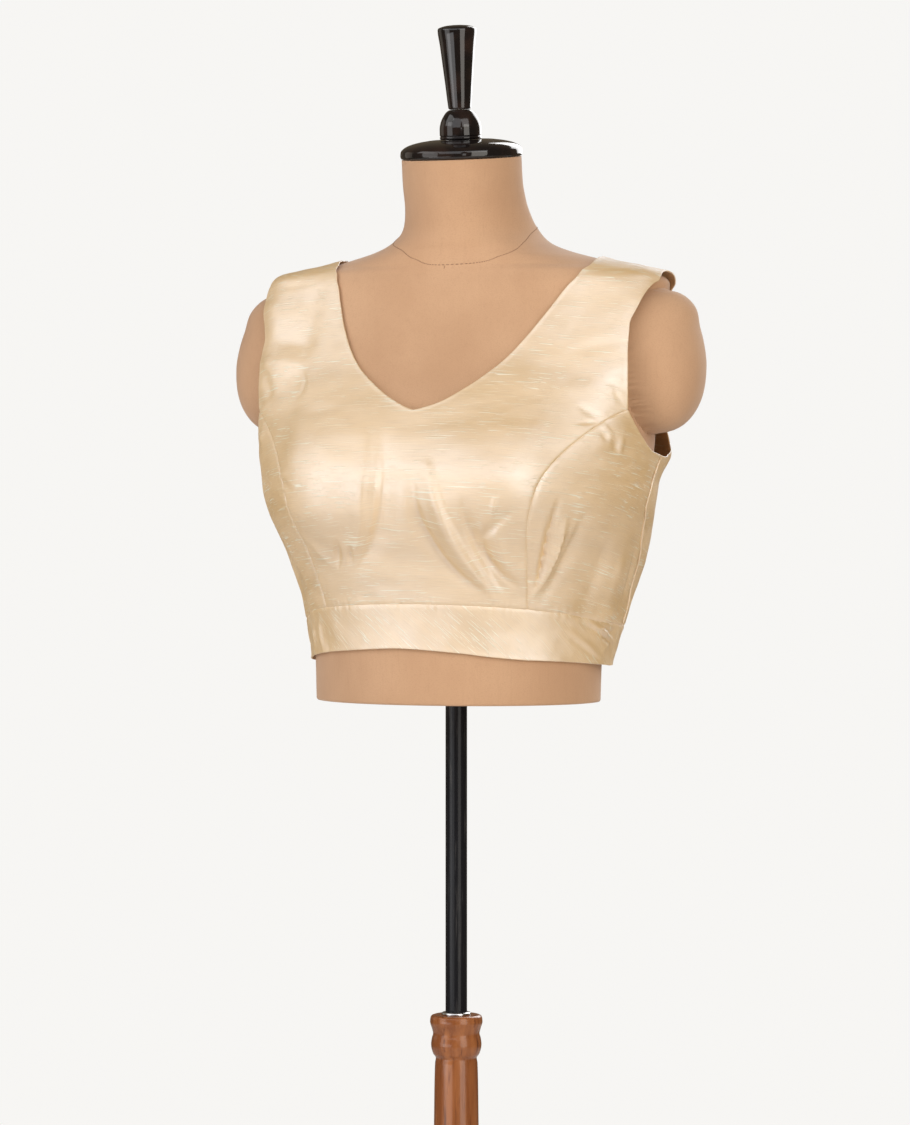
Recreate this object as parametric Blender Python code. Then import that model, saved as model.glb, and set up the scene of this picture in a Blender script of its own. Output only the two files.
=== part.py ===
"""
A sleeveless choli blouse on a limbless dress form and its turned wooden stand.

Tables and functions are in millimetres and degrees, and the meshes in metres. +Z is up, the
form faces -Y, its left side is +X, and the origin is on the floor under the pole.

A place on the form is an angle and a level. The angle is 0 at the centre front, 90 at the
form's left side and 180 at the centre back. The level runs up the side of the form: it is the
height as far as the armpit, and above that it follows the shoulder inwards and up the neck.
"""
import math

import bmesh
import bpy
import numpy as np
from mathutils import Matrix

MM = 0.001
SEAM_GAP = 0.3
WALL = 1.2
ARC_PER_DEGREE = 2.6
ANGLE_STEP = 0.1
LEVEL_STEP = 0.4

# Sections of the form. front and back are the depths at the centre front and centre back,
# widest is the depth at which the section is widest, and squareness 2 is an ellipse.
FORM_COLUMNS = ("level", "height", "half_width", "front", "back", "widest", "squareness")
FORM_SECTIONS = np.array([
    (960, 960, 128.5, -95, 92, 6, 2.0),
    (1000, 1000, 129.5, -98, 94, 7, 2.0),
    (1044, 1044, 133, -100, 98, 8, 2.05),
    (1083, 1083, 144, -104, 105, 9, 2.1),
    (1115, 1115, 156, -108, 112, 10, 2.15),
    (1150, 1150, 170, -112, 119, 11, 2.2),
    (1185, 1185, 172, -107, 125, 17, 2.3),
    (1215, 1215, 170, -95, 128, 26, 2.4),
    (1250, 1250, 170, -73, 129, 31, 2.5),
    (1285, 1285, 172, -53, 125, 37, 2.4),
    (1308, 1307, 179, -42, 118, 42, 2.2),
    (1328, 1326, 181, -34, 111, 45, 2.1),
    (1345, 1336, 168, -29, 107, 46, 2.1),
    (1371, 1343, 139, -26.5, 104, 46, 2.0),
    (1397, 1349.5, 114, -26, 101, 46, 2.0),
    (1421, 1356, 90, -26.5, 98, 45, 2.0),
    (1439, 1363, 73, -28, 94, 42, 2.0),
    (1453, 1372, 62.5, -29, 92, 43, 2.0),
    (1467, 1384, 56.5, -31.5, 85, 36, 2.0),
    (1483, 1400, 53.5, -34.5, 77, 25, 2.0),
    (1499, 1416, 53, -36.5, 70, 17, 2.0),
    (1521, 1438, 53, -38.5, 66, 13.5, 2.0),
])

# The bust of a general figure: two soft mounds, joined over the breastbone. The form dips
# between them, and the blouse spans that dip.
BUST_SPACING = 96
BUST_HEIGHT = 1148
BUST_DEPTH = 40
BUST_SIDE_REACH = 58
BUST_UPPER_REACH = 62
BUST_LOWER_REACH = 58
FORM_DIP = 0.62
CLOTH_DIP = 0.36

# The closed arm caps that bulge from the form's sides.
ARM_CAP_PROUD = 47.5
ARM_CAP_DEPTH_CENTRE = 30
ARM_CAP_HEIGHT_CENTRE = 1255
ARM_CAP_HALF_DEPTH = 50.5
ARM_CAP_HALF_HEIGHT = 60.5
ARM_CAP_SQUARENESS = 2.5
ARM_CAP_FULLNESS = 0.43

# The neck leans forward, and so do its cap and the finial.
NECK_TILT = math.radians(6.2)
NECK_TOP = (0, 13.5, 1438)
NECK_TILT_FROM = 1453

# How far the blouse stands off the form, at six angles from centre front to centre back.
EASE_ANGLES = (0, 40, 68, 90, 118, 180)
EASE_COLUMNS = ("level", "front", "bust", "side_front", "side", "side_back", "back")
BLOUSE_EASE = np.array([
    (990, 2.5, 2.5, 2.5, 6, 11, 4),
    (1020, 2.5, 2.5, 2.5, 9, 19, 5),
    (1044, 3.5, 4.5, 3, 12, 24, 6),
    (1083, 5, 7, 4, 13, 26, 8),
    (1120, 5, 6, 8, 11, 19, 8),
    (1150, 4, 4, 6, 8, 8, 6),
    (1180, 3, 3, 9, 10, 17, 5),
    (1215, 2.5, 3, 15, 9, 13, 4),
    (1250, 2.5, 3, 19, 9, 8, 3),
    (1295, 2.5, 3, 19, 9, 6, 3),
    (1325, 2.5, 2.5, 12, 9, 5, 2.5),
    (1350, 2.5, 2.5, 4, 3.5, 3.5, 2.5),
    (1400, 2.5, 2.5, 2.5, 2.5, 2.5, 2.5),
])

# The largest folds. rise is how far a fold stands out, and less than 0 in a trough. Each fades
# towards its ends, where this share of it is left.
FOLD_END_SHARE = 0.35
FOLD_COLUMNS = ("angle_1", "level_1", "angle_2", "level_2", "half_width", "rise")
FOLDS = np.array([
    (5, 1166, 16, 1128, 12, 3.4),
    (16, 1128, 27, 1070, 9, 4.2),
    (17, 1118, 26, 1094, 7, -2.6),
    (26, 1094, 37, 1062, 7, -3.0),
    (1, 1150, 8, 1106, 14, -3.0),
    (8, 1106, 21, 1062, 11, -2.8),
    (-5, 1172, -6, 1130, 8, 2.2),
    (-6, 1130, -16, 1092, 9, 2.0),
    (-9, 1150, -12, 1108, 8, -2.2),
    (29, 1138, 25, 1104, 6, 1.8),
    (44, 1062, 48, 1122, 7, -2.0),
    (44, 1056, 54, 1106, 6, 2.2),
    (57, 1222, 70, 1208, 6, 1.5),
    (55, 1193, 69, 1206, 6, -1.4),
    (-20, 1066, -33, 1104, 9, -1.4),
    (-36, 1058, -46, 1098, 8, 1.6),
    (128, 1052, 118, 1110, 14, 3.0),
    (-126, 1052, -119, 1106, 14, 2.8),
    (108, 1046, 101, 1082, 9, -2.4),
    (-108, 1048, -102, 1088, 9, -2.2),
    (148, 1058, 136, 1124, 12, -2.0),
    (-146, 1056, -137, 1116, 12, -2.0),
    (60, 1003, 84, 1030, 7, 1.4),
    (68, 1000, 92, 1026, 6, -1.3),
    (-58, 1006, -66, 1034, 7, 1.5),
])

# The blouse's cutting lines, as (angle, level) pairs from bottom to top or front to back. The
# neckline and the hem hang a little differently on the form's left and right.
FRONT_HEM = {
    "left": ((0, 1009.2), (17, 1006), (29, 1002.7), (42.5, 999.9), (57, 998.4), (84, 994.4),
             (98, 992.5)),
    "right": ((0, 1009.2), (8, 1009.7), (23, 1008), (42.5, 1005), (57, 1001.6), (84, 995),
              (98, 992.5)),
}
FRONT_BAND_SEAM = ((0, 1048), (25, 1046.5), (42.5, 1043.5), (62, 1038.5), (82, 1031.5), (104, 1028))
PRINCESS_AT_BAND = 2
PRINCESS_AT_HEM = 3
PRINCESS_SEAM = ((42.5, 1043.5), (39.7, 1093), (38.9, 1127), (39.6, 1145), (42.3, 1162),
                 (48.4, 1183), (57, 1199.6), (66.5, 1211.5))
SIDE_SEAM = ((104, 1028), (104, 1042), (103, 1065), (98, 1094), (92, 1119), (88.5, 1136),
             (90, 1162), (92, 1175.4))
SIDE_SEAM_IN_BAND = ((98, 992.5), (100, 1010), (104, 1028))
FRONT_UNDERARM = ((66.5, 1211.5), (69.5, 1204), (77.4, 1189.2), (85, 1179), (92, 1175.4))
BACK_UNDERARM = ((92, 1175.4), (98, 1174.8), (106, 1179), (113, 1188))
BACK_ARMHOLE = ((113, 1188), (119, 1208), (122, 1240), (121.5, 1280), (115, 1311),
                (105, 1328), (90, 1337))
SHOULDER_SEAM = ((90, 1388), (90, 1362), (90, 1337))
BACK_NECKLINE = ((186, 1219), (171, 1220.5), (163.5, 1226), (155, 1243), (149, 1268),
                 (145, 1295), (139, 1332), (127, 1360), (108, 1381), (90, 1388))
FRONT_NECKLINE = {
    "left": ((0, 1212), (4.8, 1219), (10.8, 1232.8), (20.4, 1260.8), (28.1, 1289), (35, 1317),
             (41, 1336), (52, 1355), (76, 1382), (90, 1388)),
    "right": ((0, 1212), (2.2, 1216), (8.8, 1230), (19.4, 1258.6), (26.5, 1287.6), (30.7, 1311),
              (35, 1335), (46, 1354), (70, 1381), (90, 1388)),
}
FRONT_ARMHOLE = {
    "left": ((66.5, 1211.5), (64, 1236), (62.8, 1256), (62, 1277), (61.8, 1293), (63.4, 1307),
             (68.8, 1323), (76, 1331), (90, 1337)),
    "right": ((66.5, 1211.5), (66, 1232), (66, 1252), (66.5, 1277), (68, 1299), (73, 1322),
              (81, 1332), (90, 1337)),
}
V_POINT = (0, 1212)
BACK_LINE = ((113, 992.2), (113, 1028.3), (113, 1188))
MIDDLE_BACK = ((140, 992), (140, 1029), (150, 1212))
CENTRE_BACK = ((186, 992), (186, 1030), (186, 1219))

# The right back laps over the left back, past the centre back line.
LAP_LIFT = 2.2
LAP_RAMP = (158, 169)

COLUMNS_CENTRE = 13
COLUMNS_SIDE_FRONT = 8
COLUMNS_SIDE_BACK = 5
COLUMNS_BACK = 9
ROWS_BODY = 15
ROWS_STRAP = 12
ROWS_BAND = 3

FORM_COLUMNS_ROUND = 40
FORM_SIDE_CROWDING = 0.25
FORM_ROWS = ((960, 1180, 11), (1189, 1337, 19), (1350, 1521, 13))

# Turned pieces, as (radius, height) pairs from the bottom up.
CAP_SEGMENTS = 40
NECK_CAP = ((50, 0), (53, 0.6), (54, 3), (53.6, 6.5), (50.5, 10), (43, 13.2), (33, 15.2),
            (24, 16.1), (16, 15.3), (9, 12.6))
BALL_SEGMENTS = 28
FINIAL_BALL = ((7.6, 0), (7.8, 2.8), (15.5, 3.2), (18.2, 3.9), (18.5, 5.4), (17.9, 6.3), (18.5, 7.3),
               (18.4, 13), (17.3, 18.5), (14.7, 24), (11.2, 28.2), (8.6, 29.4))
HANDLE_SEGMENTS = 28
FINIAL_HANDLE = ((8, 0), (9.8, 0.8), (10.4, 5), (12, 22), (13.6, 38), (15.4, 56), (17, 69.8),
                 (16.6, 71.2), (14.4, 72.4), (9, 73.7), (4, 74.2))
POLE_RADIUS = 9.5
POLE_SEGMENTS = 24
COLUMN_SEGMENTS = 28
STAND_COLUMN = ((30, 28.3), (32, 31), (32, 36), (29, 41), (25, 44), (24, 52), (26, 60),
                (26.5, 72), (24.5, 90), (22.5, 140), (21.8, 240), (21.4, 360), (20.6, 500),
                (19.6, 592), (18.7, 641), (18, 645.6), (20.4, 649.5), (22.2, 657.5),
                (21.4, 663.5), (20.4, 667), (21.4, 671.5), (23.1, 677.5), (22.4, 682), (20, 683.5))
BASE_SEGMENTS = 48
STAND_BASE = ((184, 0), (190, 3), (190, 14), (187, 20), (178, 23.6), (160, 25), (60, 27.4),
              (34, 28))


def smooth_column(table, columns, name, level):
    """One column of a table, as a smooth curve through its rows that doesn't overshoot."""
    xs = table[:, 0]
    ys = table[:, columns.index(name)]
    gaps = np.diff(xs)
    steps = np.diff(ys) / gaps
    slopes = np.zeros_like(ys)
    slopes[0] = steps[0]
    slopes[-1] = steps[-1]
    for i in range(1, len(xs) - 1):
        if steps[i - 1] * steps[i] > 0:
            before = 2 * gaps[i] + gaps[i - 1]
            after = gaps[i] + 2 * gaps[i - 1]
            slopes[i] = (before + after) / (before / steps[i - 1] + after / steps[i])
    level = np.clip(level, xs[0], xs[-1])
    row = np.clip(np.searchsorted(xs, level, side="right") - 1, 0, len(xs) - 2)
    t = (level - xs[row]) / gaps[row]
    start = ys[row] * (1 + 2 * t) * (1 - t) ** 2 + slopes[row] * gaps[row] * t * (1 - t) ** 2
    end = ys[row + 1] * t * t * (3 - 2 * t) + slopes[row + 1] * gaps[row] * t * t * (t - 1)
    return start + end


def smoothstep(value, low, high):
    t = np.clip((value - low) / (high - low), 0, 1)
    return t * t * (3 - 2 * t)


def bust(x, height, dip):
    """How far the bust stands forward of the plain section."""
    reach = np.where(height > BUST_HEIGHT, BUST_UPPER_REACH, BUST_LOWER_REACH)
    rise = BUST_DEPTH * np.exp(-((height - BUST_HEIGHT) / reach) ** 2)
    across = np.abs(x)
    outer = np.exp(-((across - BUST_SPACING) / BUST_SIDE_REACH) ** 2)
    inner = 1 - dip * (1 - np.clip(across / BUST_SPACING, 0, 1) ** 2) ** 2
    return rise * np.where(across > BUST_SPACING, outer, inner)


def arm_cap(y, height):
    """How far the arm cap stands out of the side at a depth and height."""
    along = np.abs((y - ARM_CAP_DEPTH_CENTRE) / ARM_CAP_HALF_DEPTH)
    up = np.abs((height - ARM_CAP_HEIGHT_CENTRE) / ARM_CAP_HALF_HEIGHT)
    inside = 1 - along ** ARM_CAP_SQUARENESS - up ** ARM_CAP_SQUARENESS
    return ARM_CAP_PROUD * np.clip(inside, 0, 1) ** ARM_CAP_FULLNESS


def form_surface(angle, level, dip=FORM_DIP, with_caps=True):
    """Points on the dress form, as an array of x, y, z."""
    angle, level = np.broadcast_arrays(np.asarray(angle, float), np.asarray(level, float))
    height, half_width, front, back, widest, squareness = [
        smooth_column(FORM_SECTIONS, FORM_COLUMNS, name, level) for name in FORM_COLUMNS[1:]]
    sine = np.sin(np.radians(angle))
    cosine = np.cos(np.radians(angle))
    x = half_width * np.sign(sine) * np.abs(sine) ** (2 / squareness)
    depth = np.where(cosine > 0, front, back) - widest
    y = widest + depth * np.abs(cosine) ** (2 / squareness)
    y = y - bust(x, height, dip) * np.sqrt(np.clip(cosine, 0, 1))
    if with_caps:
        x = x + np.sign(x) * arm_cap(y, height)
    lean = smoothstep(level, NECK_TILT_FROM, FORM_SECTIONS[-1, 0])
    z = height + lean * math.tan(NECK_TILT) * (y - NECK_TOP[1])
    return np.stack([x, y, z], axis=-1)


def outward(surface, angle, level):
    """The outward normal of a surface that is given by angle and level."""
    across = surface(angle + ANGLE_STEP, level) - surface(angle - ANGLE_STEP, level)
    along = surface(angle, level + LEVEL_STEP) - surface(angle, level - LEVEL_STEP)
    normal = np.cross(across, along)
    return normal / np.linalg.norm(normal, axis=-1, keepdims=True)


def blouse_ease(angle, level):
    turned = np.abs((angle + 180) % 360 - 180)
    columns = [smooth_column(BLOUSE_EASE, EASE_COLUMNS, name, level) for name in EASE_COLUMNS[1:]]
    ease = columns[0]
    for i in range(1, len(columns)):
        share = smoothstep(turned, EASE_ANGLES[i - 1], EASE_ANGLES[i])
        ease = np.where(turned > EASE_ANGLES[i - 1], columns[i - 1] * (1 - share), ease)
        ease = np.where(turned > EASE_ANGLES[i - 1], ease + columns[i] * share, ease)
    return ease


def fold_height(angle, level):
    """The sum of the folds at a place: each is a soft ridge or trough that fades at its ends."""
    height = np.zeros(np.broadcast(angle, level).shape)
    for row in FOLDS:
        fold = dict(zip(FOLD_COLUMNS, row))
        run_across = (fold["angle_2"] - fold["angle_1"]) * ARC_PER_DEGREE
        run_up = fold["level_2"] - fold["level_1"]
        across = (angle - fold["angle_1"]) * ARC_PER_DEGREE
        up = level - fold["level_1"]
        along = (across * run_across + up * run_up) / (run_across ** 2 + run_up ** 2)
        along = np.clip(along, 0, 1)
        away = np.hypot(across - along * run_across, up - along * run_up)
        fade = FOLD_END_SHARE + (1 - FOLD_END_SHARE) * np.sin(np.pi * along)
        height = height + fold["rise"] * fade * np.exp(-(away / fold["half_width"]) ** 2)
    return height


def blouse_base(angle, level):
    return form_surface(angle, level, CLOTH_DIP, with_caps=False)


def blouse_surface(angle, level):
    """Points on the outside of the blouse."""
    height = blouse_ease(angle, level) + fold_height(angle, level)
    return blouse_base(angle, level) + outward(blouse_base, angle, level) * height[..., None]


def curve_points(corners, shares):
    """Places at given shares of the length of a smooth line through its corners."""
    corners = np.array(corners, float)
    steps = np.diff(corners, axis=0) * (ARC_PER_DEGREE, 1)
    reach = np.concatenate([[0], np.cumsum(np.hypot(steps[:, 0], steps[:, 1]))])
    if len(corners) == 2:
        slopes = np.repeat((corners[1:] - corners[:1]) / reach[1], 2, axis=0)
    else:
        slopes = np.gradient(corners, reach, axis=0)
    at = np.asarray(shares) * reach[-1]
    row = np.clip(np.searchsorted(reach, at, side="right") - 1, 0, len(reach) - 2)
    gap = (reach[row + 1] - reach[row])[:, None]
    t = (at - reach[row])[:, None] / gap
    start = corners[row] * (1 + 2 * t) * (1 - t) ** 2 + slopes[row] * gap * t * (1 - t) ** 2
    end = corners[row + 1] * t * t * (3 - 2 * t) + slopes[row + 1] * gap * t * t * (t - 1)
    return start + end


def patch(bottom, top, start, end, columns, rows):
    """A grid of (angle, level) places between four edge lines that meet at their ends."""
    s = np.linspace(0, 1, columns + 1)
    t = np.linspace(0, 1, rows + 1)
    low = curve_points(bottom, s)[None, :, :]
    high = curve_points(top, s)[None, :, :]
    left = curve_points(start, t)[:, None, :]
    right = curve_points(end, t)[:, None, :]
    across = s[None, :, None]
    up = t[:, None, None]
    ruled = low * (1 - up) + high * up + left * (1 - across) + right * across
    lower_corners = low[:, :1] * (1 - across) + low[:, -1:] * across
    upper_corners = high[:, :1] * (1 - across) + high[:, -1:] * across
    return ruled - lower_corners * (1 - up) - upper_corners * up


def draw_in(grid, edges):
    """Move a grid's seam edges in by half the seam gap. edges names bottom, top, start, end."""
    grid = grid.copy()
    lines = {"bottom": (grid[0], grid[1]), "top": (grid[-1], grid[-2]),
             "start": (grid[:, 0], grid[:, 1]), "end": (grid[:, -1], grid[:, -2])}
    for edge in edges:
        line, inner = lines[edge]
        span = blouse_surface(inner[:, 0], inner[:, 1]) - blouse_surface(line[:, 0], line[:, 1])
        share = SEAM_GAP / 2 / np.linalg.norm(span, axis=-1, keepdims=True)
        line += (inner - line) * share
    return grid


def new_object(name, mesh, material):
    piece = bpy.data.objects.new(name, mesh)
    piece.data.materials.append(material)
    bpy.context.scene.collection.objects.link(piece)
    mesh.shade_smooth()
    mesh.set_sharp_from_angle(angle=math.radians(50))
    return piece


def cloth_panel(name, grids, material, side=1, lift=None):
    """A closed wall over one or more grids of places, which share the vertices on their joins.

    side is -1 for a panel on the form's right. lift gives an extra height off the form.
    """
    places = []
    index = {}
    quads = []
    for grid in grids:
        rows, columns = grid.shape[:2]
        number = np.empty((rows, columns), int)
        for r in range(rows):
            for c in range(columns):
                key = (round(grid[r, c, 0], 4), round(grid[r, c, 1], 4))
                if key not in index:
                    index[key] = len(places)
                    places.append(key)
                number[r, c] = index[key]
        for r in range(rows - 1):
            for c in range(columns - 1):
                quads.append((number[r, c], number[r, c + 1], number[r + 1, c + 1], number[r + 1, c]))
    places = np.array(places)
    angle = places[:, 0] * side
    level = places[:, 1]
    outer = blouse_surface(angle, level)
    normal = outward(blouse_surface, angle, level)
    if lift is not None:
        outer = outer + normal * lift(places[:, 0])[:, None]
    inner = outer - normal * WALL
    count = len(places)
    faces = []
    edges_used = {}
    for quad in quads:
        quad = quad if side > 0 else quad[::-1]
        faces.append(quad)
        faces.append(tuple(v + count for v in quad[::-1]))
        for a, b in zip(quad, quad[1:] + quad[:1]):
            edges_used[(a, b)] = edges_used.get((a, b), 0) + 1
    for a, b in edges_used:
        if (b, a) not in edges_used:
            faces.append((b, a, a + count, b + count))
    mesh = bpy.data.meshes.new(name)
    vertices = np.concatenate([outer, inner]) * MM
    mesh.from_pydata([tuple(v) for v in vertices], [], [tuple(int(v) for v in f) for f in faces])
    mesh.update()
    return new_object(name, mesh, material)


def mirrored(grid):
    """The same grid on the other side of the centre front, for a piece that spans both."""
    other = grid[:, ::-1].copy()
    other[..., 0] *= -1
    return other


def ring_solid(name, rings, material):
    """A closed solid through rings of points, with flat ends."""
    body = bmesh.new()
    loops = [[body.verts.new(point) for point in ring] for ring in rings]
    count = len(loops[0])
    for low, high in zip(loops, loops[1:]):
        for i in range(count):
            j = (i + 1) % count
            body.faces.new((low[i], low[j], high[j], high[i]))
    body.faces.new(loops[0][::-1])
    body.faces.new(loops[-1])
    mesh = bpy.data.meshes.new(name)
    body.to_mesh(mesh)
    body.free()
    return new_object(name, mesh, material)


def turned(name, profile, segments, material):
    """A piece turned on the lathe, from its (radius, height) profile."""
    rings = []
    for radius, height in profile:
        ring = []
        for i in range(segments):
            around = 2 * math.pi * i / segments
            ring.append((radius * MM * math.cos(around), radius * MM * math.sin(around), height * MM))
        rings.append(ring)
    return ring_solid(name, rings, material)


def surface_finish(name, colour, roughness, metallic=0.0):
    material = bpy.data.materials.new(name)
    material.use_nodes = True
    shader = material.node_tree.nodes["Principled BSDF"]
    shader.inputs["Base Color"].default_value = (*colour, 1)
    shader.inputs["Roughness"].default_value = roughness
    shader.inputs["Metallic"].default_value = metallic
    return material


def build_form(material):
    """The padded torso with its neck and arm caps, closed and smooth."""
    even = np.linspace(0, 2 * math.pi, FORM_COLUMNS_ROUND, endpoint=False)
    angles = np.degrees(even + FORM_SIDE_CROWDING * np.sin(2 * even))
    levels = np.concatenate([np.linspace(*rows) for rows in FORM_ROWS])
    rings = [form_surface(angles, np.full_like(angles, level)) * MM for level in levels]
    ring_solid("form_torso", rings, material)


def build_finial(material):
    """The neck cap, ball and handle, each turned and set on the leaning neck's axis."""
    lean = Matrix.Rotation(NECK_TILT, 4, "X")
    pieces = (("neck_cap", NECK_CAP, CAP_SEGMENTS), ("finial_ball", FINIAL_BALL, BALL_SEGMENTS),
              ("finial_handle", FINIAL_HANDLE, HANDLE_SEGMENTS))
    seat = SEAM_GAP
    for name, profile, segments in pieces:
        piece = turned(name, profile, segments, material)
        offset = Matrix.Translation([v * MM for v in NECK_TOP])
        piece.matrix_world = offset @ lean @ Matrix.Translation((0, 0, seat * MM))
        seat += profile[-1][1] + SEAM_GAP


def build_stand(steel, wood):
    """The steel pole, butted under the form, and the turned column and base that carry it."""
    column_top = STAND_COLUMN[-1][1]
    pole = ((POLE_RADIUS, column_top + SEAM_GAP), (POLE_RADIUS, FORM_SECTIONS[0, 1] - SEAM_GAP))
    turned("pole", pole, POLE_SEGMENTS, steel)
    turned("stand_column", STAND_COLUMN, COLUMN_SEGMENTS, wood)
    turned("stand_base", STAND_BASE, BASE_SEGMENTS, wood)


def build_front(silk):
    """The centre front with its two straps, cut in one piece, and the two side fronts."""
    centre_band = FRONT_BAND_SEAM[:PRINCESS_AT_BAND + 1]
    halves = []
    for hand in ("left", "right"):
        body = patch(centre_band, (V_POINT, PRINCESS_SEAM[-1]), (centre_band[0], V_POINT),
                     PRINCESS_SEAM, COLUMNS_CENTRE, ROWS_BODY)
        strap = patch((V_POINT, PRINCESS_SEAM[-1]), SHOULDER_SEAM, FRONT_NECKLINE[hand],
                      FRONT_ARMHOLE[hand], COLUMNS_CENTRE, ROWS_STRAP)
        body = draw_in(body, ("bottom", "end"))
        strap = draw_in(strap, ("top",))
        strap[0] = body[-1]
        if hand == "right":
            body = mirrored(body)
            strap = mirrored(strap)
        halves += [body, strap]
    cloth_panel("choli_front", halves, silk)

    side_front = patch(FRONT_BAND_SEAM[PRINCESS_AT_BAND:], FRONT_UNDERARM, PRINCESS_SEAM,
                       SIDE_SEAM, COLUMNS_SIDE_FRONT, ROWS_BODY)
    side_front = draw_in(side_front, ("bottom", "start", "end"))
    cloth_panel("choli_side_front_left", [side_front], silk)
    cloth_panel("choli_side_front_right", [side_front], silk, side=-1)


def lap_lift(angle):
    """How far the overlapping back stands off the one that it laps."""
    return LAP_LIFT * smoothstep(angle, *LAP_RAMP)


def build_backs(silk):
    """The two backs, which lap at the centre back. Each is one piece, gridded in three parts."""
    band = (BACK_LINE[1], MIDDLE_BACK[1], CENTRE_BACK[1])
    chest = (BACK_LINE[2], MIDDLE_BACK[2], CENTRE_BACK[2])
    side = patch((SIDE_SEAM[0], BACK_LINE[1]), BACK_UNDERARM, SIDE_SEAM, BACK_LINE[1:],
                 COLUMNS_SIDE_BACK, ROWS_BODY)
    centre = patch(band, chest, BACK_LINE[1:], CENTRE_BACK[1:], COLUMNS_BACK, ROWS_BODY)
    shoulder = patch(chest, SHOULDER_SEAM[::-1], BACK_ARMHOLE, BACK_NECKLINE, COLUMNS_BACK,
                     ROWS_STRAP)
    side = draw_in(side, ("bottom", "start"))
    centre = draw_in(centre, ("bottom",))
    shoulder = draw_in(shoulder, ("top",))
    side[:, -1] = centre[:, 0]
    shoulder[0] = centre[-1]
    cloth_panel("choli_back_left", [side, centre, shoulder], silk)
    cloth_panel("choli_back_right", [side, centre, shoulder], silk, side=-1, lift=lap_lift)


def build_waistband(silk):
    """The waistband: one front piece between the side seams, and two backs that lap."""
    front = []
    for hand in ("left", "right"):
        hem = FRONT_HEM[hand]
        princess_line = (hem[PRINCESS_AT_HEM], FRONT_BAND_SEAM[PRINCESS_AT_BAND])
        centre = patch(hem[:PRINCESS_AT_HEM + 1], FRONT_BAND_SEAM[:PRINCESS_AT_BAND + 1],
                       (hem[0], FRONT_BAND_SEAM[0]), princess_line, COLUMNS_CENTRE, ROWS_BAND)
        side = patch(hem[PRINCESS_AT_HEM:], FRONT_BAND_SEAM[PRINCESS_AT_BAND:], princess_line,
                     SIDE_SEAM_IN_BAND, COLUMNS_SIDE_FRONT, ROWS_BAND)
        centre = draw_in(centre, ("top",))
        side = draw_in(side, ("top", "end"))
        side[:, 0] = centre[:, -1]
        if hand == "right":
            centre = mirrored(centre)
            side = mirrored(side)
        front += [centre, side]
    cloth_panel("choli_band_front", front, silk)

    side = patch((SIDE_SEAM_IN_BAND[0], BACK_LINE[0]), (SIDE_SEAM[0], BACK_LINE[1]),
                 SIDE_SEAM_IN_BAND, BACK_LINE[:2], COLUMNS_SIDE_BACK, ROWS_BAND)
    centre = patch((BACK_LINE[0], MIDDLE_BACK[0], CENTRE_BACK[0]),
                   (BACK_LINE[1], MIDDLE_BACK[1], CENTRE_BACK[1]), BACK_LINE[:2], CENTRE_BACK[:2],
                   COLUMNS_BACK, ROWS_BAND)
    side = draw_in(side, ("top", "start"))
    centre = draw_in(centre, ("top",))
    side[:, -1] = centre[:, 0]
    cloth_panel("choli_band_back_left", [side, centre], silk)
    cloth_panel("choli_band_back_right", [side, centre], silk, side=-1, lift=lap_lift)


for old in list(bpy.data.objects):
    bpy.data.objects.remove(old, do_unlink=True)

raw_silk = surface_finish("raw_silk", (0.83, 0.70, 0.49), 0.45)
form_cotton = surface_finish("form_cotton", (0.56, 0.37, 0.22), 0.85)
black_lacquer = surface_finish("black_lacquer", (0.012, 0.010, 0.010), 0.12)
black_steel = surface_finish("black_steel", (0.02, 0.02, 0.025), 0.3, 0.8)
varnished_wood = surface_finish("varnished_wood", (0.33, 0.13, 0.05), 0.3)

build_form(form_cotton)
build_finial(black_lacquer)
build_stand(black_steel, varnished_wood)
build_front(raw_silk)
build_backs(raw_silk)
build_waistband(raw_silk)
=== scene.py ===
"""
The looks of a sleeveless raw silk choli blouse on a limbless dress form and its turned stand.

Sizes are in millimetres and degrees until a mesh is made, in metres. A place on the form is an
angle and a level: the angle is 0 at the centre front and 90 at the form's left side, and the
level is the height as far as the armpit, then follows the shoulder inwards and up the neck.
"""
import math

import bpy
import numpy as np
from mathutils import Matrix, Vector


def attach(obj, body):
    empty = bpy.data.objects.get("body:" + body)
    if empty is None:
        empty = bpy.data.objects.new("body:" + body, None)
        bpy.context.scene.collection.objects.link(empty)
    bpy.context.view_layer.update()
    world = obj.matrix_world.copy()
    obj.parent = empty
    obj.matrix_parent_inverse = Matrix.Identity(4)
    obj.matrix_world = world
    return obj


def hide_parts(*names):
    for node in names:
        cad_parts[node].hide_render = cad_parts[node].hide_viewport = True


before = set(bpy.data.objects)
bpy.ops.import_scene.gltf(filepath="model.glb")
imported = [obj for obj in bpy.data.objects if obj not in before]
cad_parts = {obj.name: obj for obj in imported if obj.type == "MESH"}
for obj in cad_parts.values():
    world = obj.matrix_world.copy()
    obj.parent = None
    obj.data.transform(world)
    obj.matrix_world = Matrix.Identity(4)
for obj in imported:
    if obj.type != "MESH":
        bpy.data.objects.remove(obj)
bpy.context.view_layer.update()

# Stand base: the round foot that the column is pegged into. It is turned from one blank of wood
# and varnished, with a low dome and an eased rim.
MM = 0.001
SHARP_EDGE = 55
BASE_PROFILE = ((60, 0), (184, 0), (190, 3), (190, 14), (187, 20), (178, 23.6), (160, 25),
                (110, 26), (60, 27.4), (34, 28))
BASE_SEGMENTS = 160
BASE_STEPS = 90
PROFILE_COLUMNS = ("reach", "radius", "height")
MIX_COLOUR_SOCKETS = (6, 7)
MIX_COLOUR_RESULT = 2
STREAK_FINENESS = 3.1


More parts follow.
